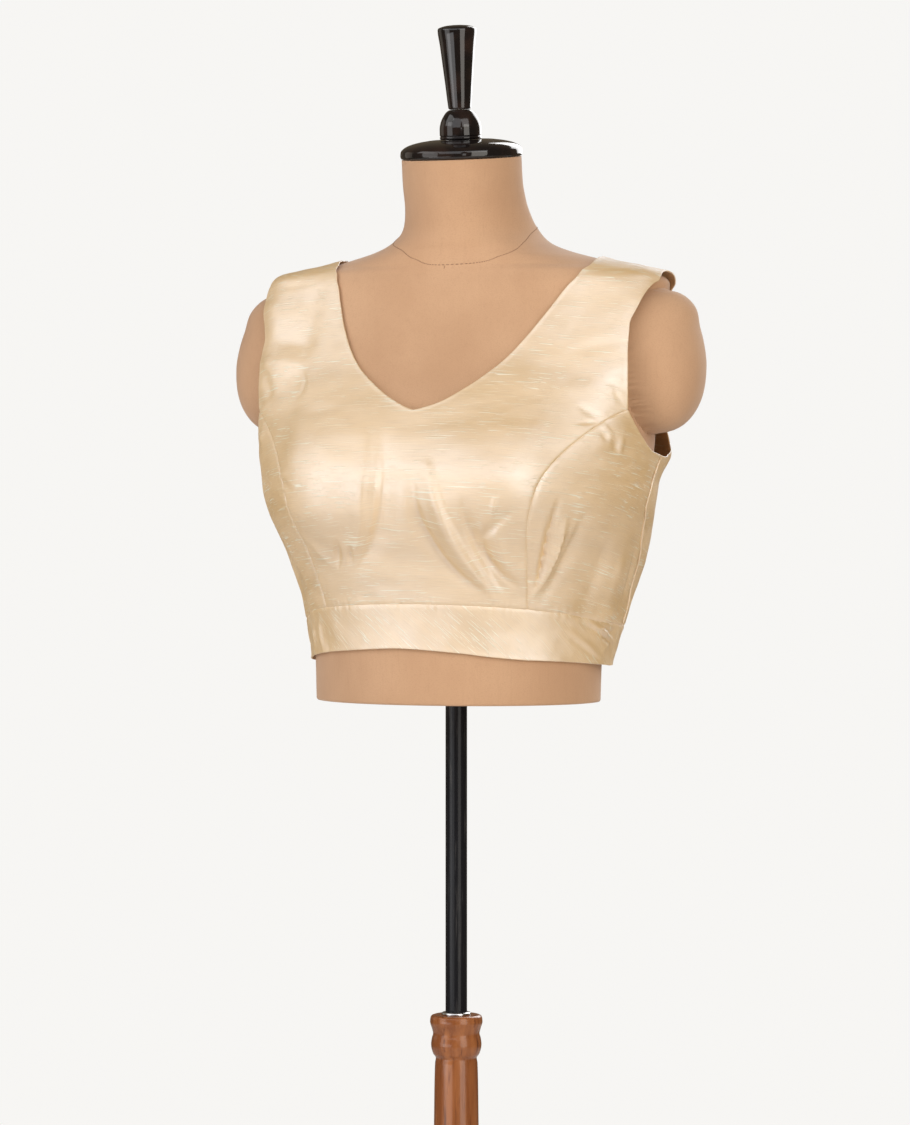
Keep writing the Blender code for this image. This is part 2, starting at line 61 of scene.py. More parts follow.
def curve_between(t, gap, start, end, start_slope, end_slope):
    """A place at share t on the smooth curve from start to end, with a slope at each."""
    leaving = start * (1 + 2 * t) * (1 - t) ** 2 + start_slope * gap * t * (1 - t) ** 2
    arriving = end * t * t * (3 - 2 * t) + end_slope * gap * t * t * (t - 1)
    return leaving + arriving


def smooth_line(corners, shares, scale=(1, 1)):
    """Points at given shares of the length of a smooth line through its corners."""
    corners = np.array(corners, float)
    steps = np.diff(corners, axis=0) * scale
    reach = np.concatenate([[0], np.cumsum(np.hypot(steps[:, 0], steps[:, 1]))])
    if len(corners) == 2:
        slopes = np.repeat((corners[1:] - corners[:1]) / reach[1], 2, axis=0)
    else:
        slopes = np.gradient(corners, reach, axis=0)
    at = np.asarray(shares) * reach[-1]
    row = np.clip(np.searchsorted(reach, at, side="right") - 1, 0, len(reach) - 2)
    gap = (reach[row + 1] - reach[row])[:, None]
    t = (at - reach[row])[:, None] / gap
    return curve_between(t, gap, corners[row], corners[row + 1], slopes[row], slopes[row + 1])


def new_piece(name, points, faces, material):
    """A smooth-shaded mesh from points in millimetres."""
    mesh = bpy.data.meshes.new(name)
    mesh.from_pydata((np.asarray(points) * MM).tolist(), [], faces)
    mesh.materials.append(material)
    mesh.shade_smooth()
    mesh.set_sharp_from_angle(angle=math.radians(SHARP_EDGE))
    piece = bpy.data.objects.new(name, mesh)
    bpy.context.scene.collection.objects.link(piece)
    return piece


def ring_faces(rings, count):
    """Faces through rings of points that are numbered ring by ring, with flat ends."""
    faces = []
    for low in range(0, (rings - 1) * count, count):
        for i in range(count):
            j = (i + 1) % count
            faces.append((low + i, low + j, low + count + j, low + count + i))
    faces.append(tuple(range(count - 1, -1, -1)))
    faces.append(tuple(range((rings - 1) * count, rings * count)))
    return faces


def smooth_column(table, columns, name, level):
    """One column of a table, as a smooth curve through its rows that doesn't overshoot."""
    xs = table[:, 0]
    ys = table[:, columns.index(name)]
    gaps = np.diff(xs)
    steps = np.diff(ys) / gaps
    slopes = np.zeros_like(ys)
    slopes[0] = steps[0]
    slopes[-1] = steps[-1]
    for i in range(1, len(xs) - 1):
        if steps[i - 1] * steps[i] > 0:
            before = 2 * gaps[i] + gaps[i - 1]
            after = gaps[i] + 2 * gaps[i - 1]
            slopes[i] = (before + after) / (before / steps[i - 1] + after / steps[i])
    level = np.clip(level, xs[0], xs[-1])
    row = np.clip(np.searchsorted(xs, level, side="right") - 1, 0, len(xs) - 2)
    t = (level - xs[row]) / gaps[row]
    return curve_between(t, gaps[row], ys[row], ys[row + 1], slopes[row], slopes[row + 1])


def turned_piece(name, profile, segments, steps, material):
    """A piece turned on the lathe, from its (radius, height) profile."""
    profile = np.array(profile, float)
    reach = np.concatenate([[0], np.cumsum(np.linalg.norm(np.diff(profile, axis=0), axis=1))])
    table = np.column_stack([reach, profile])
    at = np.union1d(np.linspace(0, reach[-1], steps), reach)
    line = np.stack([smooth_column(table, PROFILE_COLUMNS, column, at)
                     for column in PROFILE_COLUMNS[1:]], axis=-1)
    around = np.linspace(0, math.tau, segments, endpoint=False)
    points = np.empty((len(line), segments, 3))
    points[..., 0] = line[:, :1] * np.cos(around)
    points[..., 1] = line[:, :1] * np.sin(around)
    points[..., 2] = line[:, 1:]
    return new_piece(name, points.reshape(-1, 3), ring_faces(len(line), segments), material)


def new_material(name):
    """A material, its nodes, its links and its shader."""
    material = bpy.data.materials.new(name)
    material.use_nodes = True
    nodes = material.node_tree.nodes
    return material, nodes, material.node_tree.links, nodes["Principled BSDF"]


def set_finish(shader, finish):
    """Give the shader's own sockets their values."""
    for socket, value in finish.items():
        shader.inputs[socket].default_value = value


def place_on_piece(nodes):
    """The place on a piece, in metres, that its patterns follow."""
    return nodes.new("ShaderNodeTexCoord").outputs["Object"]


def stretched_noise(nodes, links, source, stretch, detail=2.0):
    """Noise over a source vector that is scaled by stretch, in features for each metre."""
    scale = nodes.new("ShaderNodeMapping")
    scale.inputs["Scale"].default_value = stretch
    noise = nodes.new("ShaderNodeTexNoise")
    noise.inputs["Scale"].default_value = 1.0
    noise.inputs["Detail"].default_value = detail
    links.new(source, scale.inputs["Vector"])
    links.new(scale.outputs["Vector"], noise.inputs["Vector"])
    return noise.outputs["Fac"]


def between(nodes, links, value, low, high, to_low=0.0, to_high=1.0):
    """A value's smooth rise from to_low at low to to_high at high."""
    spread = nodes.new("ShaderNodeMapRange")
    spread.interpolation_type = "SMOOTHSTEP"
    spread.inputs["From Min"].default_value = low
    spread.inputs["From Max"].default_value = high
    spread.inputs["To Min"].default_value = to_low
    spread.inputs["To Max"].default_value = to_high
    links.new(value, spread.inputs["Value"])
    return spread.outputs["Result"]


def blended(nodes, links, share, first, second):
    """A colour that goes from first to second with share. Each is a colour or an output."""
    mix = nodes.new("ShaderNodeMix")
    mix.data_type = "RGBA"
    links.new(share, mix.inputs["Factor"])
    for number, colour in zip(MIX_COLOUR_SOCKETS, (first, second)):
        if isinstance(colour, tuple):
            mix.inputs[number].default_value = (*colour, 1)
        else:
            links.new(colour, mix.inputs[number])
    return mix.outputs[MIX_COLOUR_RESULT]


def raised(nodes, links, shader, height, depth, strength):
    """Drive the shader's normal from a height of 0 to 1, which stands for depth in metres."""
    bump = nodes.new("ShaderNodeBump")
    bump.inputs["Distance"].default_value = depth
    bump.inputs["Strength"].default_value = strength
    links.new(height, bump.inputs["Height"])
    links.new(bump.outputs["Normal"], shader.inputs["Normal"])


def varnished_wood(name, grain_scale):
    """Warm brown varnished wood. Its grain runs the way in which grain_scale is smallest."""
    material, nodes, links, shader = new_material(name)
    place = place_on_piece(nodes)
    grain = stretched_noise(nodes, links, place, grain_scale, 4.0)
    streak_scale = tuple(scale * STREAK_FINENESS for scale in grain_scale)
    streak = stretched_noise(nodes, links, place, streak_scale, 3.0)
    warm = blended(nodes, links, between(nodes, links, grain, 0.36, 0.66),
                   (0.235, 0.072, 0.021), (0.37, 0.13, 0.041))
    dark = between(nodes, links, streak, 0.56, 0.72)
    colour = blended(nodes, links, dark, warm, (0.15, 0.045, 0.016))
    links.new(colour, shader.inputs["Base Color"])
    links.new(between(nodes, links, grain, 0.3, 0.7, 0.24, 0.36), shader.inputs["Roughness"])
    set_finish(shader, {"Specular IOR Level": 0.3, "Coat Weight": 0.4, "Coat Roughness": 0.06})
    raised(nodes, links, shader, streak, 0.0003, 0.12)
    return material


stand_base = turned_piece("turned_base", BASE_PROFILE, BASE_SEGMENTS, BASE_STEPS,
                          varnished_wood("base_varnished_wood", (9, 70, 70)))
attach(stand_base, "root")
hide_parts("stand_base")

# Stand column: one turned spindle with a foot bead and a collar of two rings. It is the same
# varnished wood, with its grain upright.
COLUMN_PROFILE = ((8, 28.3), (30, 28.3), (32, 31), (32, 36), (29, 41), (25, 44), (24, 52),
                  (26, 60), (26.5, 72), (24.5, 90), (22.5, 140), (21.8, 240), (21.4, 360),
                  (20.6, 500), (19.6, 592), (18.7, 641), (18, 645.6), (20.4, 649.5),
                  (22.2, 657.5), (21.4, 663.5), (20.4, 667), (21.4, 671.5), (23.1, 677.5),
                  (22.4, 682), (20, 683.5), (10, 683.5))
COLUMN_SEGMENTS = 96
COLUMN_STEPS = 420

stand_column = turned_piece("turned_column", COLUMN_PROFILE, COLUMN_SEGMENTS, COLUMN_STEPS,
                            varnished_wood("column_varnished_wood", (95, 95, 7)))
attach(stand_column, "root")
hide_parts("stand_column")

# Pole: a round steel tube, enamelled gloss black. It rises out of a thin bright collar on the
# column and ends in the underside of the form.
POLE_PROFILE = ((9, 683.8), (9.5, 684.4), (9.5, 700), (9.5, 800), (9.5, 940), (9.5, 959),
                (9, 959.7))
POLE_SEGMENTS = 64
POLE_STEPS = 60
COLLAR_PROFILE = ((9.6, 683.6), (12.6, 683.6), (13, 684.2), (12.6, 685.4), (11.2, 686),
                  (9.6, 686.2))
COLLAR_STEPS = 24

black_enamel, nodes, links, shader = new_material("black_enamel")
wear = stretched_noise(nodes, links, place_on_piece(nodes), (400, 400, 25), 3.0)
enamel_colour = blended(nodes, links, between(nodes, links, wear, 0.55, 0.8),
                        (0.011, 0.011, 0.013), (0.05, 0.047, 0.046))
links.new(enamel_colour, shader.inputs["Base Color"])
links.new(between(nodes, links, wear, 0.3, 0.75, 0.16, 0.34), shader.inputs["Roughness"])
set_finish(shader, {"Specular IOR Level": 0.12, "Coat Weight": 0.08, "Coat Roughness": 0.05})

pole = turned_piece("steel_pole", POLE_PROFILE, POLE_SEGMENTS, POLE_STEPS, black_enamel)
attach(pole, "root")
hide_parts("pole")

bright_steel, nodes, links, shader = new_material("bright_steel")
brushed = stretched_noise(nodes, links, place_on_piece(nodes), (60, 60, 2500))
links.new(between(nodes, links, brushed, 0.3, 0.7, 0.14, 0.3), shader.inputs["Roughness"])
set_finish(shader, {"Base Color": (0.62, 0.62, 0.63, 1), "Metallic": 1.0})

pole_collar = turned_piece("pole_collar", COLLAR_PROFILE, POLE_SEGMENTS, COLLAR_STEPS,
                           bright_steel)
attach(pole_collar, "root")

# Dress form: a padded torso with its neck and closed arm caps, under a fitted cover of beige
# cotton. Each section gives its half width, how far it reaches in front and behind, the depth
# at which it is widest, and how square its corners are.
FORM_COLUMNS = ("level", "height", "half_width", "front", "back", "widest", "squareness")
FORM_SECTIONS = np.array([
    (960, 960, 128.5, -95, 92, 6, 2.0),
    (1000, 1000, 129.5, -98, 94, 7, 2.0),
    (1044, 1044, 133, -100, 98, 8, 2.05),
    (1083, 1083, 144, -104, 105, 9, 2.1),
    (1115, 1115, 156, -108, 112, 10, 2.15),
    (1150, 1150, 170, -112, 119, 11, 2.2),
    (1185, 1185, 172, -107, 125, 17, 2.3),
    (1215, 1215, 170, -95, 128, 26, 2.4),
    (1250, 1250, 170, -73, 129, 31, 2.5),
    (1285, 1285, 172, -53, 125, 37, 2.4),
    (1308, 1307, 179, -42, 118, 42, 2.2),
    (1328, 1326, 181, -34, 111, 45, 2.1),
    (1345, 1336, 168, -29, 107, 46, 2.1),
    (1371, 1343, 139, -26.5, 104, 46, 2.0),
    (1397, 1349.5, 114, -26, 101, 46, 2.0),
    (1421, 1356, 90, -26.5, 98, 45, 2.0),
    (1439, 1363, 73, -28, 94, 42, 2.0),
    (1453, 1372, 62.5, -29, 92, 43, 2.0),
    (1467, 1384, 56.5, -31.5, 85, 36, 2.0),
    (1483, 1400, 53.5, -34.5, 77, 25, 2.0),
    (1499, 1416, 53, -36.5, 70, 17, 2.0),
    (1521, 1438, 53, -38.5, 66, 13.5, 2.0),
])
BUST_SPACING = 96
BUST_HEIGHT = 1148
BUST_DEPTH = 40
BUST_SIDE_REACH = 58
BUST_UPPER_REACH = 62
BUST_LOWER_REACH = 58
FORM_DIP = 0.62
CLOTH_DIP = 0.36
ARM_CAP_PROUD = 47.5
ARM_CAP_DEPTH_CENTRE = 30
ARM_CAP_HEIGHT_CENTRE = 1255
ARM_CAP_HALF_DEPTH = 50.5
ARM_CAP_HALF_HEIGHT = 60.5
ARM_CAP_UPPER_HEIGHT = 65
ARM_CAP_SQUARENESS = 2.5
ARM_CAP_UPPER_SQUARENESS = 1.5
ARM_CAP_FULLNESS = 0.43
NECK_TILT = math.radians(6.2)
NECK_TOP = (0, 13.5, 1438)
NECK_TILT_FROM = 1453
FORM_SIDE_CROWDING = 0.25
FORM_SEGMENTS = 224
FORM_ROWS = ((962, 1178, 84), (1180, 1345, 96), (1348, 1521, 66))
FORM_RIM = ((960, 2.2), (960.2, 0.9), (960.9, 0.2))
ANGLE_STEP = 0.1
LEVEL_STEP = 0.4


def smoothstep(value, low, high):
    """A value's eased rise from 0 at low to 1 at high."""
    t = np.clip((value - low) / (high - low), 0, 1)
    return t * t * (3 - 2 * t)


def bust(x, height, dip):
    """How far the bust stands forward of the plain section."""
    reach = np.where(height > BUST_HEIGHT, BUST_UPPER_REACH, BUST_LOWER_REACH)
    rise = BUST_DEPTH * np.exp(-((height - BUST_HEIGHT) / reach) ** 2)
    across = np.abs(x)
    outer = np.exp(-((across - BUST_SPACING) / BUST_SIDE_REACH) ** 2)
    inner = 1 - dip * (1 - np.clip(across / BUST_SPACING, 0, 1) ** 2) ** 2
    return rise * np.where(across > BUST_SPACING, outer, inner)


def arm_cap(y, height):
    """How far the arm cap stands out of the side at a depth and height."""
    along = np.abs((y - ARM_CAP_DEPTH_CENTRE) / ARM_CAP_HALF_DEPTH)
    rise = height - ARM_CAP_HEIGHT_CENTRE
    upper = np.clip(rise / ARM_CAP_UPPER_HEIGHT, 0, None) ** ARM_CAP_UPPER_SQUARENESS
    lower = np.clip(-rise / ARM_CAP_HALF_HEIGHT, 0, None) ** ARM_CAP_SQUARENESS
    inside = 1 - along ** ARM_CAP_SQUARENESS - upper - lower
    return ARM_CAP_PROUD * np.clip(inside, 0, 1) ** ARM_CAP_FULLNESS


def form_surface(angle, level, dip=FORM_DIP, with_caps=True):
    """Points on the dress form, as an array of x, y, z."""
    angle, level = np.broadcast_arrays(np.asarray(angle, float), np.asarray(level, float))
    height, half_width, front, back, widest, squareness = [
        smooth_column(FORM_SECTIONS, FORM_COLUMNS, name, level) for name in FORM_COLUMNS[1:]]
    sine = np.sin(np.radians(angle))
    cosine = np.cos(np.radians(angle))
    x = half_width * np.sign(sine) * np.abs(sine) ** (2 / squareness)
    depth = np.where(cosine > 0, front, back) - widest
    y = widest + depth * np.abs(cosine) ** (2 / squareness)
    y = y - bust(x, height, dip) * np.sqrt(np.clip(cosine, 0, 1))
    if with_caps:
        x = x + np.sign(x) * arm_cap(y, height)
    lean = smoothstep(level, NECK_TILT_FROM, FORM_SECTIONS[-1, 0])
    z = height + lean * math.tan(NECK_TILT) * (y - NECK_TOP[1])
    return np.stack([x, y, z], axis=-1)


def outward(surface, angle, level):
    """The outward normal of a surface that is given by angle and level."""
    across = surface(angle + ANGLE_STEP, level) - surface(angle - ANGLE_STEP, level)
    along = surface(angle, level + LEVEL_STEP) - surface(angle, level - LEVEL_STEP)
    normal = np.cross(across, along)
    return normal / np.linalg.norm(normal, axis=-1, keepdims=True)


def combined(nodes, links, operation, *values):
    """A math node's result for some values, each an output or a float."""
    math_node = nodes.new("ShaderNodeMath")
    math_node.operation = operation
    for socket, value in zip(math_node.inputs, values):
        if isinstance(value, float):
            socket.default_value = value
        else:
            links.new(value, socket)
    return math_node.outputs[0]


form_cotton, nodes, links, shader = new_material("form_cotton")
place = place_on_piece(nodes)
patchy = stretched_noise(nodes, links, place, (14, 14, 9), 3.0)
knit = stretched_noise(nodes, links, place, (900, 900, 1400), 1.0)
rib = stretched_noise(nodes, links, place, (420, 420, 30), 2.0)
cover = blended(nodes, links, between(nodes, links, patchy, 0.3, 0.7),
                (0.52, 0.30, 0.167), (0.585, 0.35, 0.202))
cover = blended(nodes, links, between(nodes, links, knit, 0.45, 0.75, 0.0, 0.35), cover,
                (0.45, 0.255, 0.14))
cover = blended(nodes, links, between(nodes, links, rib, 0.52, 0.75, 0.0, 0.13), cover,
                (0.42, 0.235, 0.125))
links.new(cover, shader.inputs["Base Color"])
threads = combined(nodes, links, "ADD", knit, rib)
raised(nodes, links, shader, threads, 0.0003, 0.35)
set_finish(shader, {"Roughness": 0.86, "Sheen Weight": 0.25, "Sheen Roughness": 0.5})

even = np.linspace(0, math.tau, FORM_SEGMENTS, endpoint=False)
form_angles = np.degrees(even + FORM_SIDE_CROWDING * np.sin(2 * even))
rings = []
for height, inset in FORM_RIM:
    ring = form_surface(form_angles, np.full_like(form_angles, height))
    reach = np.linalg.norm(ring[:, :2], axis=1, keepdims=True)
    ring[:, :2] *= (reach - inset) / reach
    rings.append(ring)
for level in np.concatenate([np.linspace(*rows) for rows in FORM_ROWS]):
    rings.append(form_surface(form_angles, np.full_like(form_angles, level)))
form_torso = new_piece("dress_form", np.concatenate(rings), ring_faces(len(rings), FORM_SEGMENTS),
                       form_cotton)
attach(form_torso, "root")
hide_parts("form_torso")

# Neck seam: the cover is sewn round the base of the neck in brown thread, and a short stitched
# tick below it marks the centre front.
NECK_SEAM = ((-180, 1466), (-120, 1462), (-80, 1455), (-57, 1440), (-30.9, 1422),
             (-14.5, 1390), (-2.2, 1367), (9.2, 1371), (25, 1397), (57, 1438), (80, 1454),
             (120, 1462), (180, 1466))
CENTRE_TICK = ((-0.6, 1363.5), (-0.4, 1360), (-0.4, 1352))
NECK_STITCHES = 250
TICK_STITCHES = 4
STITCH_SHARE = 0.7
# Rings along one stitch: the share of its length, and its radius and rise in thread radii.
STITCH_RINGS = ((0, 0.3, -0.6), (0.12, 0.85, 0.1), (0.5, 1, 0.45), (0.88, 0.85, 0.1),
                (1, 0.3, -0.6))
THREAD_RADIUS = 0.32
THREAD_SIDES = 6


def stitched_line(name, corners, count, surface, material):
    """Running stitches: short lengths of thread that lie half sunk in a surface."""
    along, radii, rises = np.array(STITCH_RINGS).T
    points = []
    faces = []
    around = np.linspace(0, math.tau, THREAD_SIDES, endpoint=False)
    one_stitch = ring_faces(len(STITCH_RINGS), THREAD_SIDES)
    for stitch in range(count):
        places = smooth_line(corners, (stitch + along * STITCH_SHARE) / count)
        line = surface(places[:, 0], places[:, 1])
        normal = outward(surface, places[:, 0], places[:, 1])
        ahead = np.gradient(line, axis=0)
        ahead /= np.linalg.norm(ahead, axis=1, keepdims=True)
        beside = np.cross(ahead, normal)
        first = len(points) * THREAD_SIDES
        for at, (radius, rise) in enumerate(zip(radii, rises)):
            circle = np.outer(np.cos(around), beside[at]) + np.outer(np.sin(around), normal[at])
            points.append(line[at] + THREAD_RADIUS * (normal[at] * rise + radius * circle))
        faces += [tuple(first + corner for corner in face) for face in one_stitch]
    return new_piece(name, np.concatenate(points), faces, material)


brown_thread, nodes, links, shader = new_material("brown_thread")
twist = stretched_noise(nodes, links, place_on_piece(nodes), (1500, 1500, 1500))
thread_colour = blended(nodes, links, between(nodes, links, twist, 0.35, 0.65),
                        (0.20, 0.10, 0.055), (0.33, 0.19, 0.11))
links.new(thread_colour, shader.inputs["Base Color"])
set_finish(shader, {"Roughness": 0.8})

neck_seam = stitched_line("form_neck_seam", NECK_SEAM, NECK_STITCHES, form_surface, brown_thread)
centre_tick = stitched_line("form_centre_tick", CENTRE_TICK, TICK_STITCHES, form_surface,
                            brown_thread)
for stitching in (neck_seam, centre_tick):
    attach(stitching, "root")

# Neck cap and finial: a shallow domed cap, a ball with a turned groove, and a flared handle.
# They are turned wood under thick black lacquer, screwed together on the leaning neck's axis.
CAP_PROFILE = ((20, 0.3), (50, 0.3), (53, 0.9), (54, 3.3), (53.6, 6.8), (50.5, 10.3),
               (43, 13.5), (33, 15.5), (24, 16.4), (16, 15.6), (9, 12.9), (4, 12.7))
BALL_PROFILE = ((5, 13.2), (7.6, 13.2), (7.8, 16), (15.5, 16.4), (18.2, 17.1), (18.5, 18.6),
                (17.9, 19.5), (18.5, 20.5), (18.4, 26.2), (17.3, 31.7), (14.7, 37.2),
                (11.2, 41.4), (8.6, 42.6), (6, 42.6))
HANDLE_PROFILE = ((6, 42.9), (8, 42.9), (9.8, 43.7), (10.4, 47.9), (12, 64.9), (13.6, 80.9),
                  (15.4, 98.9), (17, 112.7), (16.6, 114.1), (14.4, 115.3), (9, 116.6), (3, 117.1))
FINIAL_SEGMENTS = 96
FINIAL_STEPS = 110

black_lacquer, nodes, links, shader = new_material("black_lacquer")
ripple = stretched_noise(nodes, links, place_on_piece(nodes), (55, 55, 55))
lacquer_colour = blended(nodes, links, between(nodes, links, ripple, 0.4, 0.75),
                         (0.008, 0.006, 0.006), (0.024, 0.013, 0.010))
links.new(lacquer_colour, shader.inputs["Base Color"])
links.new(between(nodes, links, ripple, 0.3, 0.7, 0.07, 0.15), shader.inputs["Roughness"])
set_finish(shader, {"Specular IOR Level": 0.25, "Coat Weight": 0.55, "Coat Roughness": 0.03})
raised(nodes, links, shader, ripple, 0.0004, 0.25)

neck_axis = Matrix.Translation([v * MM for v in NECK_TOP]) @ Matrix.Rotation(NECK_TILT, 4, "X")
for name, node, profile in (("lacquered_neck_cap", "neck_cap", CAP_PROFILE),
                            ("lacquered_ball", "finial_ball", BALL_PROFILE),
                            ("lacquered_handle", "finial_handle", HANDLE_PROFILE)):
    piece = turned_piece(name, profile, FINIAL_SEGMENTS, FINIAL_STEPS, black_lacquer)
    piece.data.transform(neck_axis)
    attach(piece, "root")
    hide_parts(node)

# Centre front: one piece of raw silk with both shoulder straps. Its neckline and armholes are
# turned under, and it drapes off the bust in soft folds down to the waistband seam.
ARC_PER_DEGREE = 2.6
SEAM_GAP = 0.5
WALL = 1.2
EASE_ANGLES = (0, 40, 68, 90, 118, 180)
EASE_COLUMNS = ("level", "front", "bust", "side_front", "side", "side_back", "back")
BLOUSE_EASE = np.array([
    (990, 2.5, 2.5, 2.5, 6, 11, 4),
    (1020, 2.5, 2.5, 2.5, 9, 19, 5),
    (1044, 3.5, 4.5, 3, 12, 24, 6),
    (1083, 5, 7, 4, 13, 26, 8),
    (1120, 5, 6, 8, 11, 19, 8),
    (1150, 4, 4, 6, 8, 8, 6),
    (1180, 3, 3, 9, 10, 17, 5),
    (1215, 2.5, 3, 15, 9, 13, 4),
    (1250, 2.5, 3, 19, 9, 8, 3),
    (1295, 2.5, 3, 19, 9, 6, 3),
    (1325, 2.5, 2.5, 12, 9, 5, 2.5),
    (1350, 2.5, 2.5, 4, 3.5, 3.5, 2.5),
    (1400, 2.5, 2.5, 2.5, 2.5, 2.5, 2.5),
])
# A crease runs through three places. left and right are its half widths on either side as it is
# followed, and rise is how far it stands out, less than 0 in a trough.
CREASE_END_SHARE = 0.2
CREASE_END_WIDTH = 0.55
CREASE_MARGIN = 2.6
CREASE_STEPS = 14
CREASE_COLUMNS = ("angle_1", "level_1", "angle_2", "level_2", "angle_3", "level_3", "left",
                  "right", "rise")
creases = [
    (-17, 1086, -6, 1130, -5.5, 1184, 3, 11, -5.6),
    (-21, 1086, -11, 1130, -9.5, 1188, 9, 3.2, 2.6),
    (-7.5, 1108, -4.6, 1130, -3.8, 1152, 3, 3, 1.0),
    (24, 1062, 8.5, 1098, 3.2, 1150, 8, 4, -5.6),
    (27, 1062, 16, 1103, 7, 1164, 10, 3.8, 7.2),
    (31, 1064, 22.5, 1098, 18, 1132, 2.6, 10, -5.2),
    (36.5, 1066, 27.5, 1084, 24.5, 1105, 2, 4.5, -3.6),
    (38, 1070, 31.5, 1092, 29.5, 1120, 6, 8, 3.0),
    (24.5, 1107, 29, 1118, 33.5, 1129, 5, 2, -2.6),
    (28, 1126, 27.8, 1134, 28.3, 1143, 2.2, 2.2, 1.8),
    (-27, 1082, -25, 1094, -23, 1105, 2.6, 3, -2.4),
    (-21.5, 1084, -20, 1092, -19, 1100, 2.2, 2.4, -2.2),
    (-30, 1080, -33, 1096, -38, 1110, 6, 6, 1.2),
    (-34, 1146, -39, 1151, -44, 1153, 2.5, 3, -1.2),
    (-36, 1159, -40, 1157, -43.5, 1153, 2.5, 2.5, 1.0),
    (-38, 1139, -41, 1145, -43.5, 1151, 2.4, 2.4, -0.9),
    (56, 1235, 60, 1232, 64.5, 1229, 2.4, 2.4, -1.0),
    (59.5, 1229, 61.5, 1223, 63.8, 1216, 2.2, 2.2, -0.9),
    (48, 1217, 52.5, 1209.5, 57.5, 1201.5, 2.6, 3, -1.3),
    (49, 1200.5, 52.5, 1201, 56.5, 1200.5, 2.2, 2.2, -1.5),
    (-69, 1275, -52, 1274, -37, 1271, 9, 8, -2.3),
    (-69, 1254, -52, 1253, -39, 1256, 8, 8, 2.4),
    (-63, 1246, -59, 1234, -56, 1222, 7, 8, -1.8),
    (-69, 1208, -63, 1218, -56, 1228, 2, 2.4, -0.9),
    (-69, 1200, -63, 1210, -57, 1219, 2, 2.2, 0.8),
    (-68, 1190, -63, 1200, -58, 1209, 2, 2.2, -0.9),
    (-40, 1243, -38, 1234, -41, 1224, 3, 3, -1.3),
    (-42, 1124, -29, 1120, -15, 1124, 20, 16, 3.2),
    (40, 1262, 50, 1266, 62, 1268, 5, 7, -0.8),
    (-66, 1322, -54, 1326, -44, 1330, 4, 4, -0.7),
    (44.5, 1062, 46.3, 1098, 47.5, 1138, 2.6, 2, -4.0),
    (43.2, 1060, 43.5, 1094, 44.2, 1126, 3, 3, 1.3),
    (44, 1056, 50, 1090, 51.5, 1122, 4.5, 2.8, 4.4),
    (47, 1054, 54, 1088, 57, 1124, 2.4, 9, -2.8),
    (58, 1194.5, 59.5, 1190, 61, 1185, 2.2, 2.2, -1.3),
    (57.5, 1199, 59.5, 1194, 62.5, 1189, 2.2, 2.2, 1.2),
    (66, 1189, 67, 1183, 67.5, 1176, 2.6, 2.6, 1.5),
    (62, 1190, 64, 1184, 65, 1178, 2.6, 2.6, -1.2),
    (59, 1180, 66, 1181, 74, 1184, 5, 7, -1.3),
    (-58, 1194, -61, 1188, -64, 1180, 2.8, 2.8, 1.2),
    (-60, 1183, -66, 1182, -73, 1184, 4, 6, -1.1),
    (-52, 1054, -56, 1084, -58, 1112, 6, 7, 1.4),
    (-76, 1050, -74, 1078, -70, 1104, 7, 8, -1.4),
    (70, 1048, 73, 1074, 72, 1104, 8, 9, -1.0),
    (83, 1052, 84, 1078, 82, 1100, 6, 7, 1.0),
    (96, 1052, 94, 1078, 90, 1102, 3, 4, -1.3),
    (84, 1168, 78, 1160, 70, 1154, 4, 4, -0.9),
    (128, 1050, 123, 1080, 118, 1114, 12, 13, 3.0),
    (-126, 1050, -123, 1082, -119, 1112, 12, 12, 2.8),
    (108, 1044, 105, 1064, 100, 1086, 7, 8, -2.4),
    (-108, 1046, -105, 1066, -101, 1090, 7, 8, -2.2),
    (148, 1056, 143, 1092, 136, 1126, 9, 11, -2.0),
    (-146, 1054, -142, 1088, -137, 1118, 9, 11, -2.0),
    (118, 1150, 130, 1160, 142, 1162, 5, 6, -1.2),
    (-117, 1152, -128, 1160, -140, 1164, 5, 6, -1.2),
    (122, 1205, 131, 1212, 140, 1214, 4, 5, -1.0),
    (-122, 1203, -131, 1209, -139, 1212, 4, 5, -1.0),
    (96, 1162, 97.5, 1169, 98.5, 1177, 2.4, 2.4, 1.5),
    (101, 1164, 102.5, 1171, 104, 1179, 2.4, 2.4, -1.6),
    (106, 1166, 107.5, 1174, 109, 1183, 2.6, 2.6, 1.5),
    (-101, 1164, -102.5, 1171, -104, 1179, 2.6, 2.6, -1.4),
    (-107, 1167, -108.5, 1175, -110, 1184, 2.8, 2.8, 1.4),
    (166, 1060, 160, 1084, 157, 1110, 5, 6, 1.2),
    (-168, 1062, -162, 1084, -158, 1108, 5, 6, 1.2),
]
CRUMPLE = 0.32
CRUMPLE_WAVES = 10
CRUMPLE_LENGTHS = (14, 46)
SEAM_SINK = 0.65
SEAM_SINK_REACH = 1.1
PUCKER = 0.26
PUCKER_REACH = 5.5
PUCKER_LENGTH = 1.45
FINE_PUCKER_LENGTH = 0.93
FINE_PUCKER_SHARE = 0.7
FINE_PUCKER_START = 1.3
PUCKER_DRIFT = 2
PUCKER_DRIFT_LENGTH = 17
PUCKER_SWELL = 0.45
PUCKER_SWELL_LENGTH = 11.3
PUCKER_SWELL_START = 0.6
EDGE_LIP = 0.45
EDGE_LIP_REACH = 1.8
RIM_ROUNDING = 0.5
RIM_TURNS = (0.8, 1.57, 2.34)
EDGE_ROW = 0.9
SAME_PLACE_DIGITS = 4
GRAIN_DROOP = 0.00045

random = np.random.default_rng(7)
crumple_waves = [(random.uniform(*CRUMPLE_LENGTHS), random.uniform(0, math.pi),
                  random.uniform(0, math.tau)) for wave in range(CRUMPLE_WAVES)]


